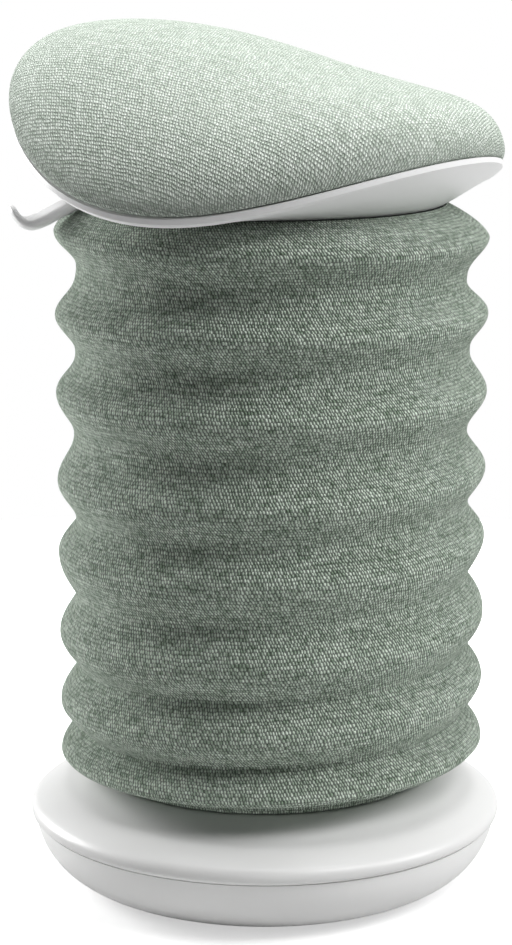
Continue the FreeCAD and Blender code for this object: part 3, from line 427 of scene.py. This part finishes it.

# %% [markdown]
# ## The sleeve
#
# The sleeve is one knitted tube sewn to eight wire hoops. The hoops push it out into narrow crests, and
# the cloth between them draws in. Low on the stool it is slack and bulges round with tight folds between;
# higher up it is stretched into wide, even hollows. Nobody sews the hoops dead level, so each one leans.
#
# The stool rocks and rises through this sleeve. So there is one mesh for each span between two hoops. Every
# span ends on its hoop with the cloth running straight up, so that neighbours meet without a crease.
#
# The hoops hold the cloth stretched all round, and only small folds are free between them. So its form is
# worked out by sums and not by a cloth simulation.

# %% Measures of the sleeve
hem_seat, pan_floor = 88.7, 541.4
hoop_shares = (0.04484, 0.14734, 0.26706, 0.40689, 0.53126, 0.67550, 0.81135, 0.94742)
hoop_heights = [hem_seat + share * (pan_floor - hem_seat) for share in hoop_shares]
hoop_leans = (1.8, 3.4, 2.9, 2.3, 2.0, 0.5, 0.4, -0.7)
crest_radius = 169.0
valley_depths = (16.0, 14.5, 13.0, 13.5, 14.5, 15.0, 16.0)
valley_sharpness = (1.1, 1.25, 1.5, 1.9, 2.2, 2.6, 2.9)
hem_radius, hem_foot = 134.5, 89.4
neck_radius, neck_top, neck_turn = 140.5, 541.1, 1.6
cloth_thick = 1.2
sleeve_shift = 5.0
stitches_round, row_height = 430, 2.8
around_count = 300
theta = np.linspace(0, 2 * math.pi, around_count, endpoint=False)
towards_lean = np.cos(theta - view_heading)
print("hoops at", [round(height) for height in hoop_heights], "mm")

# %% [markdown]
# Three small helpers come next. The first draws slow waves round the sleeve, from a seed, so that they are
# the same on each run. The second makes one ring of cloth that leans. The third joins rings into a mesh and
# counts its stitches and rows, which the knit's group reads from a UV map.

# %% Helpers for the sleeve
def uneven(seed, waves, size):
    """A smooth closed wave round the sleeve, of about the given size, the same on each run."""
    rng = np.random.default_rng(seed)
    total = np.zeros_like(theta)
    for wave in waves:
        total += rng.uniform(0.4, 1.0) * np.cos(wave * theta + rng.uniform(0, 2 * math.pi))
    return total * size / math.sqrt(len(waves))


def leaning_ring(height, radius, lean, shift):
    """Points round one circle of cloth in millimetres, leaning by degrees; radius may vary round it."""
    tip = math.radians(lean)
    rise = radius * math.sin(tip) * towards_lean
    pull_in = 1 - (1 - math.cos(tip)) * towards_lean ** 2
    x = radius * pull_in * np.cos(theta) + to_right.x * sleeve_shift * shift
    y = radius * pull_in * np.sin(theta) + to_right.y * sleeve_shift * shift
    return np.stack([x, y, height + rise], axis=1)


def tube_piece(name, rings, material, first_row):
    """A mesh through rings of points. Returns it, its last row of stitches and its cloth's length."""
    points = np.concatenate(rings) * MM
    last_ring = len(rings) - 1
    steps = [np.linalg.norm(rings[j + 1] - rings[j], axis=1).mean() for j in range(last_ring)]
    cloth_rows = first_row + np.concatenate([[0], np.cumsum(steps)]) / row_height
    per_point = stitches_round / around_count
    faces, spots = [], []
    for j in range(last_ring):
        low, high = j * around_count, (j + 1) * around_count
        for i in range(around_count):
            k = (i + 1) % around_count
            faces.append((low + i, low + k, high + k, high + i))
            left, right = i * per_point, (i + 1) * per_point
            spots += [left, cloth_rows[j], right, cloth_rows[j]]
            spots += [right, cloth_rows[j + 1], left, cloth_rows[j + 1]]
    mesh = bpy.data.meshes.new(name)
    mesh.from_pydata(points.tolist(), [], faces)
    mesh.uv_layers.new(name="knit").data.foreach_set("uv", spots)
    mesh.polygons.foreach_set("use_smooth", [True] * len(faces))
    mesh.materials.append(material)
    piece = bpy.data.objects.new(name, mesh)
    bpy.context.scene.collection.objects.link(piece)
    return piece, cloth_rows[-1], float(sum(steps)) * MM


print("a ring has", around_count, "points and", stitches_round, "stitches")

# %% [markdown]
# A span's hollow is a power of a cosine: a low power gives the slack lower spans their round bulges and
# tight folds, a high one the wide hollows above. On top of that come four small kinds of unevenness. The
# hollow's depth varies round the stool, its lowest line wanders up and down, the cloth drapes in slow
# waves, and it puckers finely where it is pulled in most. All of them fade out at the hoops.

# %% Shapes of the spans
def bunched(count):
    """Shares from 0 to 1, closer together near both ends, where the cloth turns over its hoop."""
    return 0.5 - 0.5 * np.cos(np.linspace(0, math.pi, count))


rings_per_span = 50
# each unevenness: its seed, its waves round the sleeve and its size, as a share for the first two
# and in millimetres for the others; counted up by span, no two seeds are the same
depth_seed, depth_waves, depth_spread = 10, (1, 2, 3, 5), 0.07
wander_seed, wander_waves, wander_spread = 30, (1, 2, 3, 4), 0.035
pucker_seed, pucker_waves, pucker_size = 50, (9, 13, 17, 23), 0.28
drape_seed, drape_waves, drape_size = 70, (3, 4, 5, 7), 1.3


def span_rings(index):
    """Rings of cloth from one hoop up to the next."""
    depth = valley_depths[index] * (1 + uneven(depth_seed + index, depth_waves, depth_spread))
    lead = uneven(wander_seed + index, wander_waves, wander_spread)
    puckers = uneven(pucker_seed + index, pucker_waves, pucker_size)
    first_drape = uneven(drape_seed + 2 * index, drape_waves, drape_size)
    second_drape = uneven(drape_seed + 2 * index + 1, drape_waves, drape_size)
    rings = []
    for share in bunched(rings_per_span):
        hollow = math.sin(math.pi * share)
        eased = share + lead * hollow ** 2
        swell = np.abs(np.cos(math.pi * eased)) ** valley_sharpness[index]
        fall = first_drape * math.cos(math.pi * share) + second_drape * math.sin(2 * math.pi * share)
        radius = crest_radius - depth * (1 - swell) + puckers * hollow + fall * hollow
        lean = hoop_leans[index] + (hoop_leans[index + 1] - hoop_leans[index]) * share
        height = hoop_heights[index] + (hoop_heights[index + 1] - hoop_heights[index]) * share
        rings.append(leaning_ring(height, radius, lean, 1.0))
    return rings


print("hollows are", min(valley_depths), "to", max(valley_depths), "mm deep")

# %% [markdown]
# At its foot the sleeve is a short upright band. The lowest bulge turns out over it, so that a dark crease
# runs round just above the base. The way from the band to the first hoop is a line of seven points. Each
# ring but the first and the last takes the mean of five places on that line, which rounds its corners.

# %% Shapes of the hem and the neck
hem_out = (0.0, 1.6, 4.6, 12.5, 22.5, 30.8, crest_radius - hem_radius)
hem_up = (0.0, 4.6, 8.2, 10.9, 12.4, 15.2, hoop_heights[0] - hem_foot)
rounding_steps = (-0.06, -0.03, 0, 0.03, 0.06)
rings_in_hem, rings_in_neck = 30, 30


def hem_rings():
    """From the hem up: a short upright band, then the lowest bulge turning out over it to the first hoop."""
    knots = np.linspace(0, 1, len(hem_out))
    rings = []
    for share in np.linspace(0, 1, rings_in_hem):
        steps = (0,) if share in (0, 1) else rounding_steps
        radius = hem_radius + np.mean([np.interp(share + step, knots, hem_out) for step in steps])
        height = hem_foot + np.mean([np.interp(share + step, knots, hem_up) for step in steps])
        rings.append(leaning_ring(height, radius * np.ones_like(theta), hoop_leans[0] * share, share))
    return rings


def neck_rings():
    """From the last hoop in to the ring under the pan, which is level and on the stool's axis."""
    rings = []
    for share in bunched(rings_in_neck):
        radius = crest_radius - (crest_radius - neck_radius) * share ** neck_turn
        height = hoop_heights[-1] + (neck_top - hoop_heights[-1]) * share
        still_leaning = 1 - share
        rings.append(leaning_ring(height, radius * np.ones_like(theta), hoop_leans[-1] * still_leaning,
                                  still_leaning))
    return rings


print("the hem turns out by", crest_radius - hem_radius, "mm, the neck in by", crest_radius - neck_radius)

# %% Make the spans
hoop_count = len(hoop_shares)
hoop_bodies = ["cross", "column"] + ["ring_%d" % i for i in range(3, hoop_count + 1)]
spans = [("knit_hem", hem_rings(), "base", "cross", "hem_panel", ["hem_ring", "hoop_1"])]
for i in range(hoop_count - 1):
    spans.append(("knit_span_%d" % (i + 1), span_rings(i), hoop_bodies[i], hoop_bodies[i + 1],
                  "panel_%d" % (i + 1), ["hoop_%d" % (i + 1), "hoop_%d" % (i + 2)]))
spans.append(("knit_neck", neck_rings(), "ring_8", "ring_top", "neck_panel", ["hoop_8", "top_ring"]))
row_count = 0
for name, rings, low_body, high_body, node, holders in spans:
    piece, row_count, cloth_length = tube_piece(name, rings, sleeve_knit, row_count)
    thickness = piece.modifiers.new("cloth_thickness", "SOLIDIFY")
    thickness.thickness = cloth_thick * MM
    thickness.offset = -1
    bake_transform(piece)
    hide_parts(node)
    print(name, "has", round(cloth_length, 3), "m of cloth up the stool")

# %% [markdown]
# ## The pad
#
# The pad is a moulded foam saddle with a knit of like yarns pulled tight over it. No seam shows. The
# plan is a rounded, slightly egg-shaped outline, and the rest follows from one saddle surface: the pad's
# underside lies on it, and the crown rises from it, fullest in front. Near the pan the cloth turns in
# under itself, so that a thin dark line parts it from the lip.
#
# A tight foam pad has no slack to simulate, so its form comes from the same sums as the solid that it
# replaces, with many more points and a rounder flank.

# %% Plan and saddle of the seat
seat_half_length, seat_half_width, seat_setback = 190.5, 178.5, 4.0
plan_squareness, plan_taper = 2.076, 0.074
saddle_middle, side_droop = 602.8, 55.3
pad_round = 360
angles = np.linspace(0, 2 * math.pi, pad_round, endpoint=False)


def plan_shares(angle):
    """How far ahead and across a point of the outline is, as shares of half the seat."""
    c, s = np.cos(angle), np.sin(angle)
    power = 2.0 / plan_squareness
    ahead = np.sign(c) * np.abs(c) ** power
    across = np.sign(s) * np.abs(s) ** power * (1 - plan_taper * ahead)
    return ahead, across


def saddle_height(ahead, across):
    """The saddle's middle line is a curve fitted to the seat's outline, and its sides droop from it."""
    droop = side_droop * across ** 2 * (1 - 0.489 * ahead - 0.903 * ahead ** 2)
    return saddle_middle - 58.3 * ahead - 19.0 * ahead ** 2 + 24.5 * ahead ** 3 + 35.2 * ahead ** 4 - droop


def pad_ring(share, rise, spread):
    """Points round the pad at a share of the way out, raised above the saddle and spread outward."""
    ahead, across = plan_shares(angles)
    z = saddle_height(share * ahead, share * across) + rise
    x = (share + spread) * across * seat_half_width
    y = seat_setback - (share + spread) * ahead * seat_half_length
    return np.stack([x, y, z], axis=1)


print("seat:", 2 * seat_half_length, "by", 2 * seat_half_width, "mm in plan")

# %% [markdown]
# The crown rises steeply at the edge and flattens inward. How soon it flattens differs round the pad: the
# front is the fullest, the sides are the leanest, and the back lies between them.

# %% Crown of the pad
crown_height, crown_taper = 59.5, 0.212
front_fullness, side_loss, back_gain = 5.0, 1.7, 0.7
side_from, side_to, back_from, back_to = 30, 62, 100, 140


def eased_step(value, low, high):
    """From 0 at the low value to 1 at the high one, with no corner at either."""
    t = np.clip((value - low) / (high - low), 0, 1)
    return t * t * (3 - 2 * t)


from_ahead = np.degrees(np.arccos(np.clip(np.cos(angles), -1, 1)))
fullness = (front_fullness - side_loss * eased_step(from_ahead, side_from, side_to)
            + back_gain * eased_step(from_ahead, back_from, back_to))


def crown(share):
    """How high the pad stands above its saddle at a share of the way out."""
    ahead = share * plan_shares(angles)[0]
    return crown_height * (1 + crown_taper * ahead) * np.sqrt(np.maximum(0.0, 1 - share ** fullness))


print("pad: fullness from", round(float(fullness.min()), 2), "to", round(float(fullness.max()), 2))

# %% [markdown]
# The mesh is made of rings, from the middle of the underside out to the edge and back in over the top. Up
# the flank they are placed by how high they stand, so that they don't crowd where it is steep, and from
# there on by how far in they are. The flank bulges a little past the edge, as foam does above a hard lip.

# %% The pad's rings
under_rings, first_share, last_share = 16, 0.03, 0.97
edge_rings, edge_start, edge_gap, edge_rise = 5, 0.978, 0.3, 0.9
flank_bulge, bulge_full_at, bulge_gone_at = 0.012, 0.16, 0.8
flank_lifts = (0.05, 0.09, 0.14, 0.2, 0.27, 0.35, 0.43, 0.51, 0.59, 0.66)
top_parts = (0.97, 0.94, 0.9, 0.86, 0.81, 0.75, 0.68, 0.6, 0.51, 0.41, 0.3, 0.18, 0.07)
pad_rings = []
for share in np.linspace(first_share, last_share, under_rings):
    pad_rings.append(pad_ring(share, 0.0, 0.0))
for quarter in np.linspace(0, math.pi / 2, edge_rings):
    edge_share = edge_start + (1 - edge_start) * math.sin(quarter)
    pad_rings.append(pad_ring(edge_share, edge_gap + edge_rise * (1 - math.cos(quarter)), 0.0))
for lifted in flank_lifts:
    share = (1 - lifted ** 2) ** (1 / fullness)
    onset = math.sin(min(1.0, lifted / bulge_full_at) * math.pi / 2)
    bulge = flank_bulge * onset * (1 - lifted) ** 0.5
    pad_rings.append(pad_ring(share, crown(share), bulge))
flank_top = share
for part in top_parts:
    share = flank_top * part
    left_over = max(0.0, (part - bulge_gone_at) / (1 - bulge_gone_at))
    pad_rings.append(pad_ring(share, crown(share), bulge * left_over))
middles = np.array([[0, seat_setback, saddle_middle], [0, seat_setback, saddle_middle + crown_height]])
pad_points = np.concatenate(pad_rings + [middles]) * MM
print("pad:", len(pad_rings), "rings of", pad_round, "points")

# %% The pad's mesh
faces = []
for j in range(len(pad_rings) - 1):
    low, high = j * pad_round, (j + 1) * pad_round
    for i in range(pad_round):
        k = (i + 1) % pad_round
        faces.append((low + k, low + i, high + i, high + k))
under, over = len(pad_points) - 2, len(pad_points) - 1
last = (len(pad_rings) - 1) * pad_round
for i in range(pad_round):
    k = (i + 1) % pad_round
    faces.append((i, k, under))
    faces.append((last + k, last + i, over))
pad_mesh = bpy.data.meshes.new("knit_pad")
pad_mesh.from_pydata(pad_points.tolist(), [], faces)
pad_mesh.polygons.foreach_set("use_smooth", [True] * len(faces))
pad_mesh.materials.append(pad_knit)
print("pad:", len(faces), "faces")

# %% [markdown]
# The rows of the pad's knit run along the seat. The cloth wraps over the edge all round, so a place on it is
# counted along the surface: first the way walked from the crown outward, then that way split into stitches
# and rows by its direction. So the stitches keep their size down the flanks, with no seam and no smear.

# %% Count the pad's stitches and rows
pad_stitch, pad_row = 2.6, 2.9
walk = np.zeros((len(pad_rings) + 1, pad_round))
outward = [np.tile(pad_points[over] / MM, (pad_round, 1))] + pad_rings[::-1]
for j in range(1, len(outward)):
    walk[j] = walk[j - 1] + np.linalg.norm(outward[j] - outward[j - 1], axis=1)
edge_way = np.stack([seat_setback - pad_rings[-1][:, 1], pad_rings[-1][:, 0]], axis=1)
edge_way /= np.linalg.norm(edge_way, axis=1)[:, None]
place_on_cloth = np.zeros((len(pad_points), 2))
for j in range(len(pad_rings)):
    walked = walk[len(pad_rings) - j][:, None]
    place_on_cloth[j * pad_round:(j + 1) * pad_round] = walked * edge_way
place_on_cloth /= (pad_stitch, pad_row)
knit_map = pad_mesh.uv_layers.new(name="knit")
corners = np.empty(len(pad_mesh.loops), dtype=np.int64)
pad_mesh.loops.foreach_get("vertex_index", corners)
knit_map.data.foreach_set("uv", place_on_cloth[corners].ravel())
way_to_edge = walk[len(pad_rings) - under_rings]
print("pad: the longest way over the cloth to its edge is", round(float(way_to_edge.max())), "mm")

# %% The pad on its body
pad = bpy.data.objects.new("knit_pad", pad_mesh)
bpy.context.scene.collection.objects.link(pad)
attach(pad, "seat")
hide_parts("seat_pad")
print("pad rides on the seat")

# %% [markdown]
# ## Moulded plastics and rubber
#
# The base and the pan are injection moulded in white plastic: the cover and the pan polished, the shell
# under the seam a little duller. A polished moulding is never perfectly even. Its colour clouds faintly
# where the melt flowed, its gloss varies from handling, and a very fine grain breaks up the reflections.
# One group gives all three, and each plastic sets its own amounts. Rubber, cast iron and powder paint are
# the same kind of surface with a coarser grain.

# %% The moulded surface's node group
moulded, given, made = new_group(
    "moulded_surface",
    [("Place", "NodeSocketVector", None), ("Colour", "NodeSocketColor", (0.8, 0.8, 0.8, 1)),
     ("Cloudiness", "NodeSocketFloat", 0.04), ("Mean Roughness", "NodeSocketFloat", 0.3),
     ("Roughness Spread", "NodeSocketFloat", 0.1), ("Grains Per Metre", "NodeSocketFloat", 1500.0)],
    [("Colour", "NodeSocketColor"), ("Roughness", "NodeSocketFloat"), ("Height", "NodeSocketFloat")])
tree = moulded
cloud = add(tree, "ShaderNodeTexNoise", Scale=9.0, Detail=3.0)
handled = add(tree, "ShaderNodeTexNoise", Scale=45.0, Detail=5.0, Roughness=0.65)
grain = add(tree, "ShaderNodeTexNoise", Detail=2.0)
tree.links.new(given.outputs["Grains Per Metre"], grain.inputs["Scale"])
for texture in (cloud, handled, grain):
    tree.links.new(given.outputs["Place"], texture.inputs["Vector"])
tone = calc(tree, "ADD", swing(tree, cloud.outputs["Fac"], given.outputs["Cloudiness"]), 1.0)
dulling = swing(tree, handled.outputs["Fac"], given.outputs["Roughness Spread"])
roughness = calc(tree, "ADD", dulling, given.outputs["Mean Roughness"], clamp=True)
tree.links.new(dimmed(tree, given.outputs["Colour"], tone), made.inputs["Colour"])
tree.links.new(roughness, made.inputs["Roughness"])
tree.links.new(grain.outputs["Fac"], made.inputs["Height"])
print("moulded_surface has", len(tree.nodes), "nodes")

# %% Moulded materials
grain_depth = 0.4 * MM
# by name: colour, mean roughness and its spread, grains per metre, relief, cloudiness, metallic
moulded_kinds = {
    # Painted shade and light: the cover's white is set darker than the shell's and the pan's, against the
    # strong light on its upward face, and the shell and the pan, which the lever shares, are set lighter for
    # the little light that reaches them from below.
    "cover_plastic": ((0.76, 0.76, 0.755), 0.36, 0.10, 1400, 0.05, 0.04, 0.0),
    "shell_plastic": ((0.86, 0.86, 0.855), 0.46, 0.12, 1600, 0.10, 0.05, 0.0),
    "pan_plastic": ((0.86, 0.86, 0.86), 0.36, 0.10, 1400, 0.06, 0.04, 0.0),
    "dark_plastic": ((0.035, 0.037, 0.04), 0.45, 0.2, 900, 0.25, 0.3, 0.0),
    "rubber": ((0.028, 0.028, 0.03), 0.82, 0.15, 600, 0.5, 0.4, 0.0),
    "cast_iron": ((0.10, 0.10, 0.105), 0.6, 0.25, 260, 0.9, 0.5, 0.8),
    "powder_coat": ((0.025, 0.026, 0.028), 0.5, 0.2, 750, 0.45, 0.3, 0.0),
}
finishes = {}
for name, (colour, mean, spread, grains, relief, cloudiness, metallic) in moulded_kinds.items():
    amounts = {"Colour": (*colour, 1), "Cloudiness": cloudiness, "Mean Roughness": mean,
               "Roughness Spread": spread, "Grains Per Metre": grains}
    finishes[name] = material_from_group(name, moulded, amounts, relief, grain_depth,
                                         {"Metallic": metallic})
print("made from moulded_surface:", ", ".join(finishes))

# %% [markdown]
# ## Metals
#
# The inner metal parts are turned or drawn: steel for pins and rods, brass for bearing cups, zinc plate on
# the screws and spring steel for the hoops. Turning leaves fine rings round the upright axis, and handling
# leaves faint stains. The rings come from noise squeezed along the axis.

# %% The turned metal's node group
turned, given, made = new_group(
    "turned_metal",
    [("Place", "NodeSocketVector", None), ("Colour", "NodeSocketColor", (0.6, 0.6, 0.6, 1)),
     ("Mean Roughness", "NodeSocketFloat", 0.3), ("Rings Per Metre", "NodeSocketFloat", 1200.0),
     ("Stain", "NodeSocketFloat", 0.2)],
    [("Colour", "NodeSocketColor"), ("Roughness", "NodeSocketFloat"), ("Height", "NodeSocketFloat")])
tree = turned
sideways_scale, roughness_spread = 18.0, 0.25
parts = add(tree, "ShaderNodeSeparateXYZ")
squeezed = add(tree, "ShaderNodeCombineXYZ")
tree.links.new(given.outputs["Place"], parts.inputs[0])
for axis in (0, 1):
    tree.links.new(calc(tree, "MULTIPLY", parts.outputs[axis], sideways_scale), squeezed.inputs[axis])
up_scaled = calc(tree, "MULTIPLY", parts.outputs[2], given.outputs["Rings Per Metre"])
tree.links.new(up_scaled, squeezed.inputs[2])
turning = add(tree, "ShaderNodeTexNoise", Scale=1.0, Detail=2.0)
tree.links.new(squeezed.outputs[0], turning.inputs["Vector"])
stains = add(tree, "ShaderNodeTexNoise", Scale=70.0, Detail=4.0)
tree.links.new(given.outputs["Place"], stains.inputs["Vector"])
stained = calc(tree, "MULTIPLY", stains.outputs["Fac"], given.outputs["Stain"])
tone = calc(tree, "SUBTRACT", 1.0, stained)
dulling = swing(tree, turning.outputs["Fac"], roughness_spread)
roughness = calc(tree, "ADD", dulling, given.outputs["Mean Roughness"], clamp=True)
tree.links.new(dimmed(tree, given.outputs["Colour"], tone), made.inputs["Colour"])
tree.links.new(roughness, made.inputs["Roughness"])
tree.links.new(turning.outputs["Fac"], made.inputs["Height"])
print("turned_metal has", len(tree.nodes), "nodes")

# %% Metal materials
turning_relief, turning_depth = 0.25, 0.2 * MM
# by name: colour, mean roughness, rings per metre, stain
metal_kinds = {
    "bright_steel": ((0.62, 0.62, 0.63), 0.22, 2500, 0.15),
    "bearing_brass": ((0.72, 0.55, 0.28), 0.32, 1800, 0.3),
    "zinc_plate": ((0.55, 0.56, 0.58), 0.38, 1200, 0.35),
    "spring_wire": ((0.42, 0.42, 0.43), 0.35, 600, 0.3),
}
for name, (colour, mean, rings, stain) in metal_kinds.items():
    amounts = {"Colour": (*colour, 1), "Mean Roughness": mean, "Rings Per Metre": rings, "Stain": stain}
    finishes[name] = material_from_group(name, turned, amounts, turning_relief, turning_depth,
                                         {"Metallic": 1.0})
print("made from turned_metal:", ", ".join(metal_kinds))

# %% Give each hard piece its finish
finished_nodes = {
    "shell_plastic": ["base_shell"],
    "pan_plastic": ["seat_pan"],
    "rubber": ["foot_ring", "tilt_buffer"],
    "cast_iron": ["ballast_plate"],
    "powder_coat": ["base_yoke", "column_foot", "mechanism_plate", "stand_tube", "gas_cylinder"],
    "bright_steel": ["pivot_cross", "piston_rod", "valve_pin", "lever_pin", "rod_clip"],
    "bearing_brass": ["base_cups", "column_cups", "thrust_bearing"],
    "dark_plastic": ["guide_bush", "seat_board", "sleeve_collar", "hem_ring", "top_ring"],
    "zinc_plate": ["cover_screws", "board_screws", "plate_bolts", "plate_nuts", "yoke_bolts"],
    "spring_wire": ["hoop_%d" % i for i in range(1, 9)],
}
plain = set(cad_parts)
for finish, names in finished_nodes.items():
    for name in names:
        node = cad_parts[name]
        node.data.materials.clear()
        node.data.materials.append(finishes[finish])
        plain.remove(name)
print("nodes without a finish here, because a piece replaces them:", sorted(plain))

# %% [markdown]
# ## The base cover
#
# The cover slopes down from the sleeve to a rounded rim in one smooth sweep, and a glossy white surface
# shows every break in such a sweep. So the cover is turned again here from more points than the packed
# solid has: a spline is run through its outline and spun about the upright axis. The four screw bosses
# under it are kept.

# %% Helpers for turned and swept pieces
def spline_through(points, steps):
    """Points along a Catmull-Rom curve through the given ones, both ends kept."""
    known = np.array([points[0]] + list(points) + [points[-1]], dtype=float)
    found = []
    for i in range(1, len(known) - 2):
        p0, p1, p2, p3 = known[i - 1], known[i], known[i + 1], known[i + 2]
        for t in np.linspace(0, 1, steps, endpoint=False):
            found.append(0.5 * (2 * p1 + (p2 - p0) * t + (2 * p0 - 5 * p1 + 4 * p2 - p3) * t ** 2
                                + (3 * p1 - p0 - 3 * p2 + p3) * t ** 3))
    found.append(known[-2])
    return found


def turned_mesh(outline, count):
    """Points and faces of a closed outline spun about the upright axis."""
    turns = np.linspace(0, 2 * math.pi, count, endpoint=False)
    points = [(r * math.cos(a), r * math.sin(a), z) for r, z in outline for a in turns]
    faces = []
    for j in range(len(outline)):
        low, high = j * count, (j + 1) % len(outline) * count
        for i in range(count):
            k = (i + 1) % count
            faces.append((low + i, low + k, high + k, high + i))
    return points, faces


def solid_piece(name, points, faces, material, sharp_above):
    """A smooth-shaded piece from points in millimetres, with edges sharper than some degrees kept."""
    mesh = bpy.data.meshes.new(name)
    mesh.from_pydata([tuple(v * MM for v in p) for p in points], [], faces)
    mesh.polygons.foreach_set("use_smooth", [True] * len(faces))
    mesh.set_sharp_from_angle(angle=math.radians(sharp_above))
    mesh.materials.append(material)
    piece = bpy.data.objects.new(name, mesh)
    bpy.context.scene.collection.objects.link(piece)
    return piece


print("helpers for turned and swept pieces are ready")

# %% Turn the cover and add its bosses
cover_outside = [(185.5, 51.4), (188.0, 53.6), (188.7, 56.4), (188.0, 59.7), (185.6, 62.7), (181.3, 65.6),
                 (172.0, 70.9), (159.0, 77.9), (147.0, 83.9), (137.0, 88.5)]
cover_inside = [(124.0, 88.7), (101.0, 92.6), (78.0, 94.0), (78.0, 91.0), (101.0, 89.6), (124.0, 85.7),
                (137.0, 85.5), (158.0, 75.2), (177.7, 63.6), (177.7, 44.4), (180.7, 44.4), (180.7, 51.4)]
outline_steps, cover_sides, boss_sides, keep_sharp = 5, 240, 32, 40
boss_count, boss_circle, boss_radius, boss_hole, boss_top = 4, 106, 6.0, 2.0, 88.9
boss_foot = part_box("ballast_plate")[1].z / MM
boss_outline = [(boss_radius, boss_foot), (boss_radius, boss_top), (boss_hole, boss_top),
                (boss_hole, boss_foot)]
cover_outline = spline_through(cover_outside, outline_steps) + cover_inside
cover_points, cover_faces = turned_mesh(cover_outline, cover_sides)
for turn in range(boss_count):
    bearing = math.radians(45 + 360 / boss_count * turn)
    boss_x, boss_y = boss_circle * math.cos(bearing), boss_circle * math.sin(bearing)
    boss, boss_faces = turned_mesh(boss_outline, boss_sides)
    start = len(cover_points)
    cover_points += [(x + boss_x, y + boss_y, z) for x, y, z in boss]
    cover_faces += [tuple(start + v for v in face) for face in boss_faces]
cover = solid_piece("smooth_cover", cover_points, cover_faces, finishes["cover_plastic"], keep_sharp)
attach(cover, "base")
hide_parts("base_cover")
print("cover: highest point", round(max(p[2] for p in cover_points), 1), "mm")

# %% [markdown]
# ## The height lever
#
# The lever comes out under the pan as a flat arm, dips, and ends in a dished paddle with an upturned edge
# for a finger. On the real one there isn't a straight edge. So the mesh is a soft rounded section swept
# along a smooth line, wider and thinner towards the end, with its sides raised where the dish is.

# %% Sweep the lever
lever_heading = math.radians(140.3)
side_power, top_power = 0.5, 0.6
station_steps, section_sides, lever_sharp = 6, 36, 60
# how far out, height of the middle, half thickness, half width and dish depth, in millimetres
lever_stations = [(26.5, 570.4, 4.9, 7.9, 0.0), (34, 570.4, 5.0, 8.0, 0.0), (90, 564.2, 5.0, 9.5, 0.0),
                  (112, 561.2, 5.0, 13.5, 0.0), (127, 555.2, 5.1, 14.8, 0.0), (141, 548.0, 5.1, 15.0, 0.0),
                  (154, 542.2, 5.0, 15.0, 0.3), (166, 536.2, 4.8, 15.6, 1.0), (175, 531.2, 4.5, 16.2, 1.8),
                  (184, 528.4, 4.2, 16.0, 2.2), (191, 530.4, 3.7, 14.6, 1.8), (196, 536.0, 3.0, 11.6, 1.2),
                  (198.0, 540.8, 2.5, 8.0, 0.7), (198.8, 543.0, 1.3, 3.4, 0.2)]
swept = np.array(spline_through(lever_stations, station_steps))
section = np.linspace(0, 2 * math.pi, section_sides, endpoint=False)
lever_points, lever_faces = [], []
for j, (out, height, half_thick, half_wide, dish) in enumerate(swept):
    before, after = swept[max(j - 1, 0)], swept[min(j + 1, len(swept) - 1)]
    way = np.array([after[0] - before[0], after[1] - before[1]])
    way /= np.linalg.norm(way)
    for turn in section:
        side = math.copysign(abs(math.cos(turn)) ** side_power, math.cos(turn))
        top = math.copysign(abs(math.sin(turn)) ** top_power, math.sin(turn))
        off = top * half_thick + dish * side ** 2
        reach, z, y = out - way[1] * off, height + way[0] * off, side * half_wide
        lever_points.append((reach * math.cos(lever_heading) - y * math.sin(lever_heading),
                             reach * math.sin(lever_heading) + y * math.cos(lever_heading), z))
for j in range(len(swept) - 1):
    low, high = j * section_sides, (j + 1) * section_sides
    for i in range(section_sides):
        k = (i + 1) % section_sides
        lever_faces.append((low + k, low + i, high + i, high + k))
last_ring = (len(swept) - 1) * section_sides
lever_faces.append(tuple(range(section_sides)))
lever_faces.append(tuple(last_ring + i for i in reversed(range(section_sides))))
lever = solid_piece("smooth_lever", lever_points, lever_faces, finishes["pan_plastic"], lever_sharp)
rounding = lever.modifiers.new("rounding", "SUBSURF")
rounding.levels = 1
rounding.render_levels = 1
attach(lever, "lever")
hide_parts("lever")
print("lever sticks out to", round(float(swept[:, 0].max()), 1), "mm from the stool's axis")
